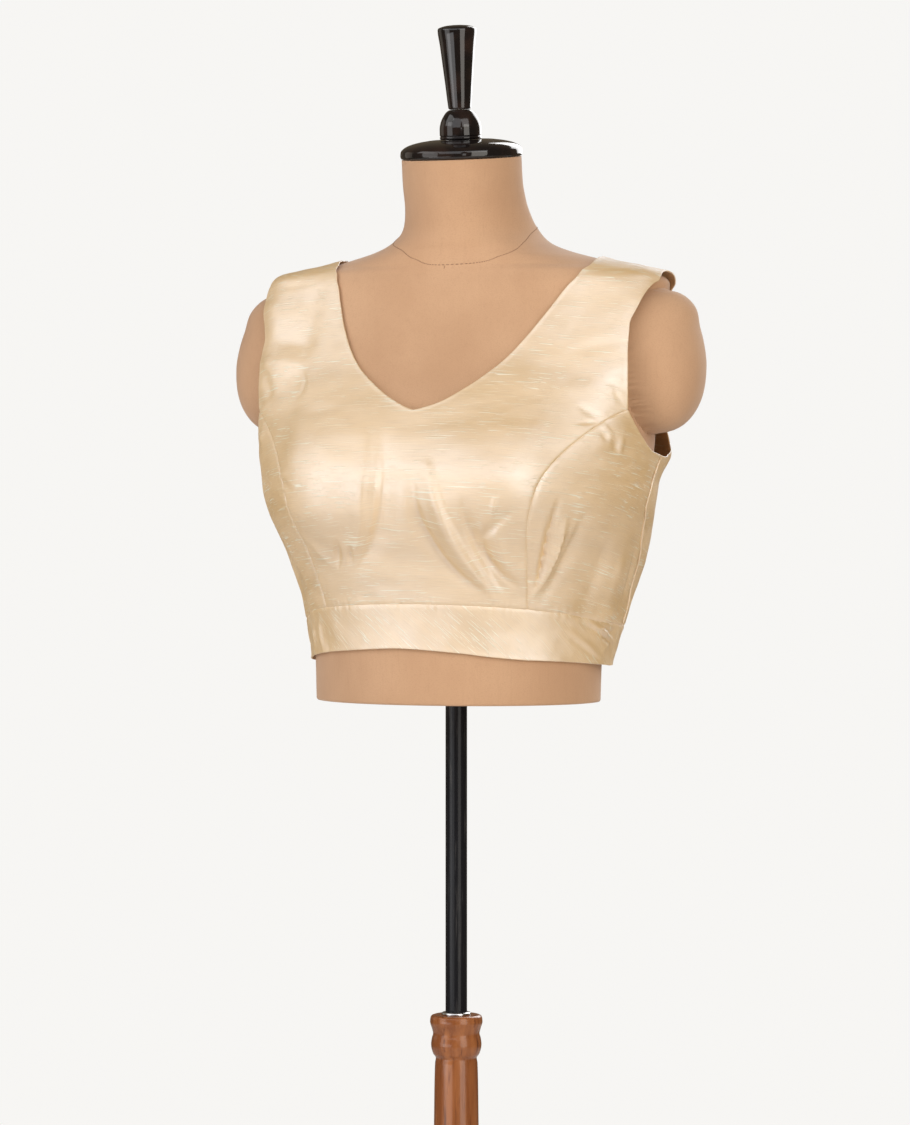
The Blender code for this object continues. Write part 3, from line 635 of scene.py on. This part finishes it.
def blouse_ease(angle, level):
    """How far the blouse stands off the form before its creases.

    The table's columns lie at EASE_ANGLES, and the ease goes smoothly from one to the next.
    """
    turned = np.abs((angle + 180) % 360 - 180)
    columns = [smooth_column(BLOUSE_EASE, EASE_COLUMNS, name, level) for name in EASE_COLUMNS[1:]]
    ease = columns[0]
    for i in range(1, len(columns)):
        share = smoothstep(turned, EASE_ANGLES[i - 1], EASE_ANGLES[i])
        blend = columns[i - 1] * (1 - share) + columns[i] * share
        ease = np.where(turned > EASE_ANGLES[i - 1], blend, ease)
    return ease


def crease_height(angle, level):
    """The sum of the creases at a place, each a soft ridge or trough along a bent line."""
    height = np.zeros(angle.shape)
    place = np.stack([angle * ARC_PER_DEGREE, level], axis=-1)
    for row in creases:
        crease = dict(zip(CREASE_COLUMNS, row))
        first = np.array([crease["angle_1"] * ARC_PER_DEGREE, crease["level_1"]])
        middle = np.array([crease["angle_2"] * ARC_PER_DEGREE, crease["level_2"]])
        last = np.array([crease["angle_3"] * ARC_PER_DEGREE, crease["level_3"]])
        t = np.linspace(0, 1, CREASE_STEPS + 1)[:, None]
        pull = 2 * middle - (first + last) / 2
        line = first * (1 - t) ** 2 + pull * 2 * t * (1 - t) + last * t * t
        margin = CREASE_MARGIN * max(crease["left"], crease["right"])
        near = np.all((place > line.min(0) - margin) & (place < line.max(0) + margin), axis=-1)
        spot = place[near]
        away = np.full(len(spot), np.inf)
        side = np.zeros(len(spot))
        along = np.zeros(len(spot))
        for i in range(CREASE_STEPS):
            span = line[i + 1] - line[i]
            offset = spot - line[i]
            share = np.clip(offset @ span / (span @ span), 0, 1)
            gap = offset - share[:, None] * span
            distance = np.hypot(gap[:, 0], gap[:, 1])
            closer = distance < away
            away = np.where(closer, distance, away)
            side = np.where(closer, span[0] * offset[:, 1] - span[1] * offset[:, 0], side)
            along = np.where(closer, (i + share) / CREASE_STEPS, along)
        fade = CREASE_END_SHARE + (1 - CREASE_END_SHARE) * np.sin(np.pi * along)
        width = np.where(side > 0, crease["left"], crease["right"])
        width = width * (CREASE_END_WIDTH + (1 - CREASE_END_WIDTH) * fade)
        height[near] += crease["rise"] * fade * np.exp(-(away / width) ** 2)
    return height


def crumple_height(angle, level):
    """The faint unevenness of cloth that has been handled."""
    height = np.zeros(np.shape(angle))
    for length, turn, phase in crumple_waves:
        along = angle * ARC_PER_DEGREE * math.cos(turn) + level * math.sin(turn)
        share = length / CRUMPLE_LENGTHS[1]
        height = height + share * np.sin(math.tau * along / length + phase)
    return CRUMPLE * height / math.sqrt(CRUMPLE_WAVES)


def blouse_base(angle, level):
    """Points on the form as the blouse bridges it, with a shallower dip between the cups."""
    return form_surface(angle, level, CLOTH_DIP, with_caps=False)


def blouse_surface(angle, level):
    """Points on the outside of the blouse."""
    height = blouse_ease(angle, level) + crease_height(angle, level) + crumple_height(angle, level)
    return blouse_base(angle, level) + outward(blouse_base, angle, level) * height[..., None]


def shares_of(count, length):
    """Even shares of a length, with a closer line at each end for the seam or turned edge."""
    edge = EDGE_ROW / length
    return np.concatenate([[0], np.linspace(edge, 1 - edge, count), [1]])


def patch(bottom, top, start, end, across, up):
    """A grid of (angle, level) places between four edge lines that meet at their ends."""
    scale = (ARC_PER_DEGREE, 1)
    low = smooth_line(bottom, across, scale)[None, :, :]
    high = smooth_line(top, across, scale)[None, :, :]
    left = smooth_line(start, up, scale)[:, None, :]
    right = smooth_line(end, up, scale)[:, None, :]
    s = across[None, :, None]
    t = up[:, None, None]
    ruled = low * (1 - t) + high * t + left * (1 - s) + right * s
    lower_corners = low[:, :1] * (1 - s) + low[:, -1:] * s
    upper_corners = high[:, :1] * (1 - s) + high[:, -1:] * s
    return ruled - lower_corners * (1 - t) - upper_corners * t


def from_edges(grid):
    """How far each place of a grid is from each of its four edges, over the cloth."""
    flat = grid * (ARC_PER_DEGREE, 1)
    columns = np.linalg.norm(np.diff(flat, axis=1), axis=-1)
    rows = np.linalg.norm(np.diff(flat, axis=0), axis=-1)
    start = np.concatenate([np.zeros((len(grid), 1)), np.cumsum(columns, axis=1)], axis=1)
    bottom = np.concatenate([np.zeros((1, grid.shape[1])), np.cumsum(rows, axis=0)], axis=0)
    return {"start": start, "end": start[:, -1:] - start, "bottom": bottom,
            "top": bottom[-1:] - bottom}


def sewn(grid, seams=(), turned=()):
    """A grid with each place's height: sunk and puckered at its seams, lipped at turned edges.

    Its seam edges are drawn in by half the gap between pieces.
    """
    grid = grid.copy()
    reach = from_edges(grid)
    arc = grid[..., 0] * ARC_PER_DEGREE
    height = np.zeros(grid.shape[:2])
    for edge in seams:
        along = grid[..., 1] if edge in ("start", "end") else arc
        drift = PUCKER_DRIFT * np.sin(along / PUCKER_DRIFT_LENGTH)
        waves = np.sin(along / PUCKER_LENGTH + drift)
        waves += FINE_PUCKER_SHARE * np.sin(along / FINE_PUCKER_LENGTH + FINE_PUCKER_START)
        swell = np.sin(along / PUCKER_SWELL_LENGTH + PUCKER_SWELL_START)
        waves *= 1 - PUCKER_SWELL + PUCKER_SWELL * swell
        height += PUCKER * waves * np.exp(-(reach[edge] / PUCKER_REACH) ** 2)
        height -= SEAM_SINK * np.exp(-(reach[edge] / SEAM_SINK_REACH) ** 2)
        lines = {"bottom": (grid[0], grid[1]), "top": (grid[-1], grid[-2]),
                 "start": (grid[:, 0], grid[:, 1]), "end": (grid[:, -1], grid[:, -2])}
        line, inner = lines[edge]
        line += (inner - line) * (SEAM_GAP / 2 / EDGE_ROW)
    for edge in turned:
        height += EDGE_LIP * np.exp(-(reach[edge] / EDGE_LIP_REACH) ** 2)
    return np.concatenate([grid, height[..., None]], axis=-1)


def mirrored(grid):
    """The same grid on the other side of the centre front, for a piece that spans both."""
    other = grid[:, ::-1].copy()
    other[..., 0] *= -1
    return other


def joined(grids):
    """The places of some grids, with shared ones once, and the four-cornered faces on them."""
    flat = np.concatenate([grid.reshape(-1, 3) for grid in grids])
    # Adding 0.0 makes the centre line's -0.0 on a mirrored grid the same as 0.0.
    keys = np.round(flat[:, :2], SAME_PLACE_DIGITS) + 0.0
    first, index = np.unique(keys, axis=0, return_index=True, return_inverse=True)[1:]
    index = index.ravel()
    quads = []
    start = 0
    for grid in grids:
        rows, columns = grid.shape[:2]
        number = index[start:start + rows * columns].reshape(rows, columns)
        start += rows * columns
        quads.append(np.stack([number[:-1, :-1], number[:-1, 1:], number[1:, 1:],
                               number[1:, :-1]], axis=-1).reshape(-1, 4))
    return flat[first], np.concatenate(quads)


def open_edges(quads):
    """The edges that only one face has, each in its face's order."""
    edges = set()
    for corner in range(4):
        edges.update(zip(quads[:, corner].tolist(), quads[:, (corner + 1) % 4].tolist()))
    return sorted((start, end) for start, end in edges if (end, start) not in edges)


def lay_grain(piece, weft, warp, offset):
    """Store where each point of a piece lies on its cloth, in metres along its threads."""
    grain = np.stack(np.broadcast_arrays(weft, warp, offset), axis=-1) * MM
    layer = piece.data.attributes.new("grain", "FLOAT_VECTOR", "POINT")
    layer.data.foreach_set("vector", grain.astype(np.float32).ravel())


def cloth_panel(name, grids, material, side=1, lift=None, bias=0.0, offset=0.0):
    """A thin closed wall over one or more grids of places, with a rounded rim.

    side is -1 for a panel on the form's right. lift gives an extra height off the form. bias is
    the turn of the weft on the panel, and offset keeps its slubs from matching its neighbour's.
    """
    places, quads = joined(grids)
    if side < 0:
        quads = quads[:, ::-1]
    angle = places[:, 0] * side
    level = places[:, 1]
    height = places[:, 2]
    if lift:
        height = height + lift(places[:, 0])
    normal = outward(blouse_surface, angle, level)
    outer = blouse_surface(angle, level) + normal * height[:, None]
    inner = outer - normal * WALL
    count = len(places)

    rim = open_edges(quads)
    away = np.zeros((count, 3))
    for start, end in rim:
        across = np.cross(outer[end] - outer[start], normal[start])
        across /= np.linalg.norm(across)
        away[start] += across
        away[end] += across
    on_rim = sorted({start for start, end in rim})
    turned_out = away[on_rim] / np.linalg.norm(away[on_rim], axis=1, keepdims=True)
    middle = (outer[on_rim] + inner[on_rim]) / 2
    half_wall = (outer[on_rim] - inner[on_rim]) / 2
    points = [outer, inner]
    for turn in RIM_TURNS:
        points.append(middle + half_wall * math.cos(turn)
                      + turned_out * RIM_ROUNDING * math.sin(turn))
    round_rim = {}
    for at, vertex in enumerate(on_rim):
        between_walls = [2 * count + at + row * len(on_rim) for row in range(len(RIM_TURNS))]
        round_rim[vertex] = [vertex] + between_walls + [vertex + count]
    faces = quads.tolist() + (quads[:, ::-1] + count).tolist()
    for start, end in rim:
        for row in range(len(RIM_TURNS) + 1):
            faces.append((round_rim[end][row], round_rim[start][row],
                          round_rim[start][row + 1], round_rim[end][row + 1]))
    piece = new_piece(name, np.concatenate(points), faces, material)

    turned_by = math.radians(bias)
    arc = angle * ARC_PER_DEGREE
    behind = np.abs(angle).mean() > 90
    if behind:
        arc = (angle - 180 * side) * ARC_PER_DEGREE
    weft = arc * math.cos(turned_by) + level * math.sin(turned_by)
    warp = level * math.cos(turned_by) - arc * math.sin(turned_by)
    # The front's weft bows down towards the side seams.
    if not bias and not behind:
        warp = warp + GRAIN_DROOP * arc ** 2
    order = np.concatenate([np.arange(count), np.arange(count), np.tile(on_rim, len(RIM_TURNS))])
    lay_grain(piece, weft[order], warp[order], offset)
    return piece


raw_silk, nodes, links, shader = new_material("raw_silk")
grain = nodes.new("ShaderNodeAttribute")
grain.attribute_name = "grain"
grain = grain.outputs["Vector"]
long_slub = between(nodes, links, stretched_noise(nodes, links, grain, (32, 800, 900), 1.0),
                    0.635, 0.68)
short_slub = between(nodes, links, stretched_noise(nodes, links, grain, (75, 1200, 1300), 1.0),
                     0.66, 0.71)
cluster = between(nodes, links, stretched_noise(nodes, links, grain, (11, 30, 700), 2.0),
                  0.38, 0.58, 0.25, 1.0)
weft_thread = stretched_noise(nodes, links, grain, (60, 2300, 500), 2.0)
tone = stretched_noise(nodes, links, grain, (13, 46, 600), 3.0)
slub = combined(nodes, links, "MAXIMUM", long_slub, short_slub)
slub = combined(nodes, links, "MULTIPLY", slub, cluster)
silk_colour = blended(nodes, links, between(nodes, links, tone, 0.33, 0.68),
                      (0.85, 0.51, 0.145), (0.93, 0.58, 0.195))
silk_colour = blended(nodes, links, between(nodes, links, weft_thread, 0.42, 0.72, 0.0, 0.55),
                      silk_colour, (0.72, 0.40, 0.09))
silk_colour = blended(nodes, links, slub, silk_colour, (1.0, 0.84, 0.53))
links.new(silk_colour, shader.inputs["Base Color"])
relief = combined(nodes, links, "MULTIPLY_ADD", weft_thread, 0.22, slub)
raised(nodes, links, shader, relief, 0.0005, 0.5)
links.new(between(nodes, links, tone, 0.3, 0.7, 0.51, 0.61), shader.inputs["Roughness"])
set_finish(shader, {"IOR": 2.85, "Specular IOR Level": 1.0,
                    "Specular Tint": (0.76, 0.87, 1.0, 1)})

V_POINT = (0, 1212)
PRINCESS_AT_BAND = 2
FRONT_BAND_SEAM = ((0, 1048), (25, 1046.5), (42.5, 1043.5), (62, 1038.5), (82, 1031.5),
                   (104, 1028))
PRINCESS_SEAM = ((42.5, 1043.5), (39.7, 1093), (38.9, 1127), (39.6, 1145), (42.3, 1162),
                 (48.4, 1183), (57, 1199.6), (66.5, 1211.5))
SHOULDER_SEAM = ((90, 1391), (90, 1362), (90, 1337))
FRONT_NECKLINE = {
    "left": ((0, 1212), (4.8, 1219), (10.8, 1232.8), (20.4, 1260.8), (28.1, 1289), (35, 1317),
             (41, 1336), (52, 1355), (76, 1384), (90, 1391)),
    "right": ((0, 1212), (2.2, 1216), (8.8, 1230), (19.4, 1258.6), (26.5, 1287.6), (30.7, 1311),
              (35, 1335), (44, 1356), (64, 1383), (90, 1391)),
}
FRONT_ARMHOLE = {
    "left": ((66.5, 1211.5), (64, 1236), (62.8, 1256), (62, 1277), (61.8, 1293), (63.4, 1307),
             (68.8, 1323), (76, 1331), (90, 1337)),
    "right": ((66.5, 1211.5), (66, 1232), (66, 1252), (66.5, 1277), (68, 1299), (73, 1322),
              (81, 1332), (90, 1337)),
}
CENTRE_COLUMNS = shares_of(66, 125)
BODY_ROWS = shares_of(86, 168)
STRAP_ROWS = shares_of(88, 176)

centre_band = FRONT_BAND_SEAM[:PRINCESS_AT_BAND + 1]
halves = []
for hand in ("left", "right"):
    body = patch(centre_band, (V_POINT, PRINCESS_SEAM[-1]), (centre_band[0], V_POINT),
                 PRINCESS_SEAM, CENTRE_COLUMNS, BODY_ROWS)
    strap = patch((V_POINT, PRINCESS_SEAM[-1]), SHOULDER_SEAM, FRONT_NECKLINE[hand],
                  FRONT_ARMHOLE[hand], CENTRE_COLUMNS, STRAP_ROWS)
    body = sewn(body, seams=("bottom", "end"))
    strap = sewn(strap, seams=("top",), turned=("start", "end"))
    strap[0, :, :2] = body[-1, :, :2]
    if hand == "right":
        body = mirrored(body)
        strap = mirrored(strap)
    halves += [strap, body]
front = cloth_panel("blouse_front", halves, raw_silk)
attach(front, "root")
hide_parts("choli_front")

# Side fronts: the two panels from the princess seams round to the side seams. They are sewn to
# the centre front with plain seams, and their armhole edges are turned under.
PRINCESS_AT_HEM = 3
SIDE_SEAM = ((104, 1028), (104, 1042), (103, 1065), (98, 1094), (92, 1119), (88.5, 1136),
             (90, 1162), (92, 1175.4))
FRONT_UNDERARM = ((66.5, 1211.5), (69.5, 1204), (77.4, 1189.2), (85, 1179), (92, 1175.4))
SIDE_FRONT_COLUMNS = shares_of(60, 125)
FOLD_WIDTH = 2.8
FOLD_RISE = 1.1
FOLD_SEAT = 0.3
# The fold strays from the seam in waves, each with its reach, length and start.
FOLD_WANDER = ((0.4, 13, 0), (0.2, 5.1, 1))
FOLD_SWELL = 0.15
FOLD_SWELL_LENGTH = 7.3
FOLD_END_STEPS = 5
FOLD_END_SIZE = 0.2
FOLD_STEPS = 180
FOLD_SIDES = 12

side_front = patch(FRONT_BAND_SEAM[PRINCESS_AT_BAND:], FRONT_UNDERARM, PRINCESS_SEAM, SIDE_SEAM,
                   SIDE_FRONT_COLUMNS, BODY_ROWS)
side_front = sewn(side_front, seams=("bottom", "start", "end"), turned=("top",))


def seam_fold(name, corners, side, offset):
    """A seam allowance that stands out as a narrow rolled fold along a seam."""
    places = smooth_line(corners, np.linspace(0, 1, FOLD_STEPS), (ARC_PER_DEGREE, 1))
    level = places[:, 1]
    wander = sum(reach * np.sin(level / length + start) for reach, length, start in FOLD_WANDER)
    angle = (places[:, 0] + wander / ARC_PER_DEGREE) * side
    line = blouse_surface(angle, level)
    normal = outward(blouse_surface, angle, level)
    ahead = np.gradient(line, axis=0)
    ahead /= np.linalg.norm(ahead, axis=1, keepdims=True)
    beside = np.cross(ahead, normal)
    size = 1 - FOLD_SWELL + FOLD_SWELL * np.sin(level / FOLD_SWELL_LENGTH)
    steps = np.arange(FOLD_STEPS)
    from_end = np.minimum(steps, steps[::-1])
    size = size * np.clip(from_end / FOLD_END_STEPS, FOLD_END_SIZE, 1)
    around = np.linspace(0, math.tau, FOLD_SIDES, endpoint=False)
    across = np.outer(size, np.cos(around)) * FOLD_WIDTH / 2
    up = np.outer(size, np.sin(around)) * FOLD_RISE + FOLD_SEAT
    points = line[:, None] + beside[:, None] * across[..., None] + normal[:, None] * up[..., None]
    fold = new_piece(name, points.reshape(-1, 3), ring_faces(FOLD_STEPS, FOLD_SIDES), raw_silk)
    lay_grain(fold, level[:, None], across, offset)
    return fold


for hand, side, offset, fold_offset in (("left", 1, 210, 190), ("right", -1, 340, 110)):
    panel = cloth_panel("blouse_side_front_" + hand, [side_front], raw_silk, side, offset=offset)
    fold = seam_fold("side_seam_fold_" + hand, SIDE_SEAM, side, fold_offset)
    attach(fold, "root")
    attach(panel, "root")
    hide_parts("choli_side_front_" + hand)

# Backs: two panels that lap at the centre back, the right one on top, where hooks close them out
# of sight. Each runs from the side seam to the shoulder seam, round the back of the armhole.
LAP_LIFT = 2.2
LAP_RAMP = (158, 169)
BACK_UNDERARM = ((92, 1175.4), (98, 1174.8), (106, 1179), (113, 1188))
BACK_ARMHOLE = ((113, 1188), (119, 1208), (122, 1240), (121.5, 1280), (115, 1311),
                (105, 1328), (90, 1337))
BACK_NECKLINE = ((186, 1219), (171, 1220.5), (163.5, 1226), (155, 1243), (149, 1268),
                 (145, 1295), (139, 1328), (127, 1354), (108, 1376), (90, 1391))
BACK_LINE = ((113, 992.2), (113, 1028.3), (113, 1188))
MIDDLE_BACK = ((140, 992), (140, 1029), (150, 1212))
CENTRE_BACK = ((186, 992), (186, 1030), (186, 1219))
SIDE_BACK_COLUMNS = shares_of(14, 40)
BACK_COLUMNS = shares_of(64, 180)
BACK_BODY_ROWS = shares_of(74, 175)
BACK_STRAP_ROWS = shares_of(64, 160)


def lap_lift(angle):
    """How far the overlapping back stands off the one that it laps."""
    return LAP_LIFT * smoothstep(angle, *LAP_RAMP)


back_side = patch((SIDE_SEAM[0], BACK_LINE[1]), BACK_UNDERARM, SIDE_SEAM, BACK_LINE[1:],
                  SIDE_BACK_COLUMNS, BACK_BODY_ROWS)
back_centre = patch((BACK_LINE[1], MIDDLE_BACK[1], CENTRE_BACK[1]),
                    (BACK_LINE[2], MIDDLE_BACK[2], CENTRE_BACK[2]), BACK_LINE[1:],
                    CENTRE_BACK[1:], BACK_COLUMNS, BACK_BODY_ROWS)
back_strap = patch((BACK_LINE[2], MIDDLE_BACK[2], CENTRE_BACK[2]), SHOULDER_SEAM[::-1],
                   BACK_ARMHOLE, BACK_NECKLINE, BACK_COLUMNS, BACK_STRAP_ROWS)
back_side = sewn(back_side, seams=("bottom", "start"), turned=("top",))
back_centre = sewn(back_centre, seams=("bottom",), turned=("end",))
back_strap = sewn(back_strap, seams=("top",), turned=("start", "end"))
back_side[:, -1, :2] = back_centre[:, 0, :2]
back_strap[0, :, :2] = back_centre[-1, :, :2]
for hand, side, lift, offset in (("left", 1, None, 470), ("right", -1, lap_lift, 620)):
    panel = cloth_panel("blouse_back_" + hand, [back_strap, back_centre, back_side], raw_silk,
                        side, lift, offset=offset)
    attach(panel, "root")
    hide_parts("choli_back_" + hand)

# Waistband: a strip of the same silk cut on the bias, 40 mm deep, in one front piece and two
# backs. It is sewn to the panels' lower edges and turned under at the hem.
BAND_BIAS = -38
BAND_ROWS = shares_of(20, 40)
BAND_CREASES = [
    (64, 1020.5, 75, 1010, 88, 994, 3.5, 2.5, 1.3),
    (60, 1022, 72, 1010, 84, 996, 3, 3, -1.0),
    (70, 1031, 83, 1020, 95, 1009, 2.2, 2.2, -1.9),
    (74, 1031, 86, 1021.5, 98, 1012, 2.0, 2.0, 1.6),
    (77.5, 1032, 88, 1024, 99, 1015, 1.9, 1.9, -1.6),
    (83, 1015, 91, 1021.5, 99, 1026, 2.2, 2.2, -1.0),
    (84, 1004, 91, 1012, 99, 1019, 2.2, 2.2, 0.9),
    (52, 1036, 62, 1030, 72, 1021, 2.6, 2.6, -0.8),
    (-58, 1004, -61, 1018, -58, 1032, 4, 4, -2.2),
    (-48, 1003, -51, 1017, -50, 1034, 5, 4, 1.9),
    (-44, 1002, -45, 1008, -46, 1014, 3, 3, -0.9),
    (-30, 1006, -26, 1020, -24, 1036, 9, 9, -0.7),
    (8, 1012, 16, 1026, 22, 1040, 12, 12, 0.8),
    (30, 1010, 36, 1024, 41, 1038, 9, 9, -0.7),
    (-90, 1000, -84, 1014, -80, 1028, 3, 3, 1.0),
    (-96, 1002, -92, 1014, -89, 1028, 3, 3, -1.0),
    (118, 1000, 128, 1012, 136, 1026, 7, 7, 1.0),
    (-120, 1002, -130, 1014, -140, 1024, 7, 7, 1.0),
]
FRONT_HEM = {
    "left": ((0, 1009.2), (17, 1006), (29, 1002.7), (42.5, 999.9), (57, 998.4), (84, 994.4),
             (98, 992.5)),
    "right": ((0, 1009.2), (8, 1009.7), (23, 1008), (42.5, 1005), (57, 1001.6), (84, 995),
              (98, 992.5)),
}
SIDE_SEAM_IN_BAND = ((98, 992.5), (100, 1010), (104, 1028))

creases += BAND_CREASES
band_front = []
for hand in ("left", "right"):
    hem = FRONT_HEM[hand]
    princess_line = (hem[PRINCESS_AT_HEM], FRONT_BAND_SEAM[PRINCESS_AT_BAND])
    centre = patch(hem[:PRINCESS_AT_HEM + 1], FRONT_BAND_SEAM[:PRINCESS_AT_BAND + 1],
                   (hem[0], FRONT_BAND_SEAM[0]), princess_line, CENTRE_COLUMNS, BAND_ROWS)
    side = patch(hem[PRINCESS_AT_HEM:], FRONT_BAND_SEAM[PRINCESS_AT_BAND:], princess_line,
                 SIDE_SEAM_IN_BAND, SIDE_FRONT_COLUMNS, BAND_ROWS)
    centre = sewn(centre, seams=("top",), turned=("bottom",))
    side = sewn(side, seams=("top", "end"), turned=("bottom",))
    side[:, 0] = centre[:, -1]
    if hand == "right":
        centre = mirrored(centre)
        side = mirrored(side)
    band_front += [centre, side]
band = cloth_panel("waistband_front", band_front, raw_silk, bias=BAND_BIAS, offset=790)
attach(band, "root")
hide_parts("choli_band_front")

band_side = patch((SIDE_SEAM_IN_BAND[0], BACK_LINE[0]), (SIDE_SEAM[0], BACK_LINE[1]),
                  SIDE_SEAM_IN_BAND, BACK_LINE[:2], SIDE_BACK_COLUMNS, BAND_ROWS)
band_centre = patch((BACK_LINE[0], MIDDLE_BACK[0], CENTRE_BACK[0]),
                    (BACK_LINE[1], MIDDLE_BACK[1], CENTRE_BACK[1]), BACK_LINE[:2],
                    CENTRE_BACK[:2], BACK_COLUMNS, BAND_ROWS)
band_side = sewn(band_side, seams=("top", "start"), turned=("bottom",))
band_centre = sewn(band_centre, seams=("top",), turned=("bottom", "end"))
band_side[:, -1, :2] = band_centre[:, 0, :2]
for hand, side, lift, offset in (("left", 1, None, 910), ("right", -1, lap_lift, 1060)):
    panel = cloth_panel("waistband_back_" + hand, [band_centre, band_side], raw_silk, side, lift,
                        BAND_BIAS, offset)
    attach(panel, "root")
    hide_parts("choli_band_back_" + hand)

# Studio: a plain pale floor and backdrop, with large soft lights round the front and sides, one
# behind, and a small one for the lacquer's glints. The camera stands at chest height, a little
# to the form's left.
FLOOR_RADIUS = 2900
FLOOR_SEGMENTS = 96
CAMERA_TURN = math.radians(20)
CAMERA_DISTANCE = 3.7884
CAMERA_HEIGHT = 1.160
LIGHT_HEIGHT = 1.15
LIGHT_DISTANCE = 2.6
PICTURE_SIZE = (910, 1125)
LENS_PIXELS = 4305
SENSOR = 36
LEVEL_PIXEL = (456.3, 473)

pale_floor, nodes, links, shader = new_material("pale_floor")
mottle = stretched_noise(nodes, links, place_on_piece(nodes), (3, 3, 3), 4.0)
floor_colour = blended(nodes, links, mottle, (0.72, 0.70, 0.68), (0.77, 0.75, 0.73))
links.new(floor_colour, shader.inputs["Base Color"])
set_finish(shader, {"Roughness": 0.8})
around = np.linspace(0, math.tau, FLOOR_SEGMENTS, endpoint=False)
edge = np.stack([np.cos(around), np.sin(around), np.zeros(FLOOR_SEGMENTS)], axis=-1)
floor = new_piece("floor", edge * FLOOR_RADIUS, [tuple(range(FLOOR_SEGMENTS))], pale_floor)

world = bpy.data.worlds.new("pale_studio")
world.use_nodes = True
nodes = world.node_tree.nodes
links = world.node_tree.links
backdrop = nodes["Background"]
backdrop.inputs["Color"].default_value = (0.93, 0.92, 0.90, 1)
fill = nodes.new("ShaderNodeBackground")
fill.inputs["Color"].default_value = (0.98, 0.78, 0.54, 1)
fill.inputs["Strength"].default_value = 0.12
seen = nodes.new("ShaderNodeLightPath")
either = nodes.new("ShaderNodeMixShader")
links.new(seen.outputs["Is Camera Ray"], either.inputs[0])
links.new(fill.outputs[0], either.inputs[1])
links.new(backdrop.outputs[0], either.inputs[2])
links.new(either.outputs[0], nodes["World Output"].inputs["Surface"])
bpy.context.scene.world = world


def soft_light(name, turn, rise, size, power, colour):
    """A rectangular studio light that faces the blouse from a bearing and a height angle."""
    light = bpy.data.lights.new(name, "AREA")
    light.shape = "RECTANGLE"
    light.size, light.size_y = size
    light.energy = power
    light.color = colour
    turn = math.radians(turn)
    rise = math.radians(rise)
    aim = Vector((-math.sin(turn) * math.cos(rise), math.cos(turn) * math.cos(rise),
                  -math.sin(rise)))
    lamp = bpy.data.objects.new(name, light)
    lamp.location = Vector((0, 0, LIGHT_HEIGHT)) - aim * LIGHT_DISTANCE
    lamp.rotation_euler = aim.to_track_quat("-Z", "Y").to_euler()
    bpy.context.scene.collection.objects.link(lamp)


soft_light("left_light", -42, 8, (1.5, 2.3), 19, (1, 1, 1))
soft_light("upper_left_light", -54, 38, (1.8, 1.5), 15, (1, 1, 1))
soft_light("middle_light", -2, 34, (2.0, 1.8), 18, (0.93, 0.96, 1))
soft_light("low_light", -24, -13, (2.1, 0.7), 10, (0.95, 0.97, 1))
soft_light("right_light", 54, 4, (1.4, 2.4), 31, (1, 0.96, 0.89))
soft_light("upper_right_light", 50, 36, (1.7, 1.5), 17, (1, 1, 1))
soft_light("side_light", -100, 12, (1.2, 1.8), 2.5, (1, 0.93, 0.82))
soft_light("back_light", 170, 24, (1.8, 1.8), 42, (1, 1, 1))
soft_light("window_light", 25, 9, (0.28, 0.5), 0.9, (1, 1, 1))

camera = bpy.data.objects.new("camera", bpy.data.cameras.new("camera"))
bpy.context.scene.collection.objects.link(camera)
camera.location = (math.sin(CAMERA_TURN) * CAMERA_DISTANCE,
                   -math.cos(CAMERA_TURN) * CAMERA_DISTANCE, CAMERA_HEIGHT)
camera.rotation_euler = (math.radians(90), 0, CAMERA_TURN)
camera.data.sensor_width = SENSOR
camera.data.sensor_height = SENSOR
camera.data.lens = LENS_PIXELS * SENSOR / PICTURE_SIZE[1]
camera.data.shift_x = (PICTURE_SIZE[0] / 2 - LEVEL_PIXEL[0]) / PICTURE_SIZE[1]
camera.data.shift_y = (LEVEL_PIXEL[1] - PICTURE_SIZE[1] / 2) / PICTURE_SIZE[1]
bpy.context.scene.camera = camera
bpy.context.scene.view_settings.view_transform = "Standard"
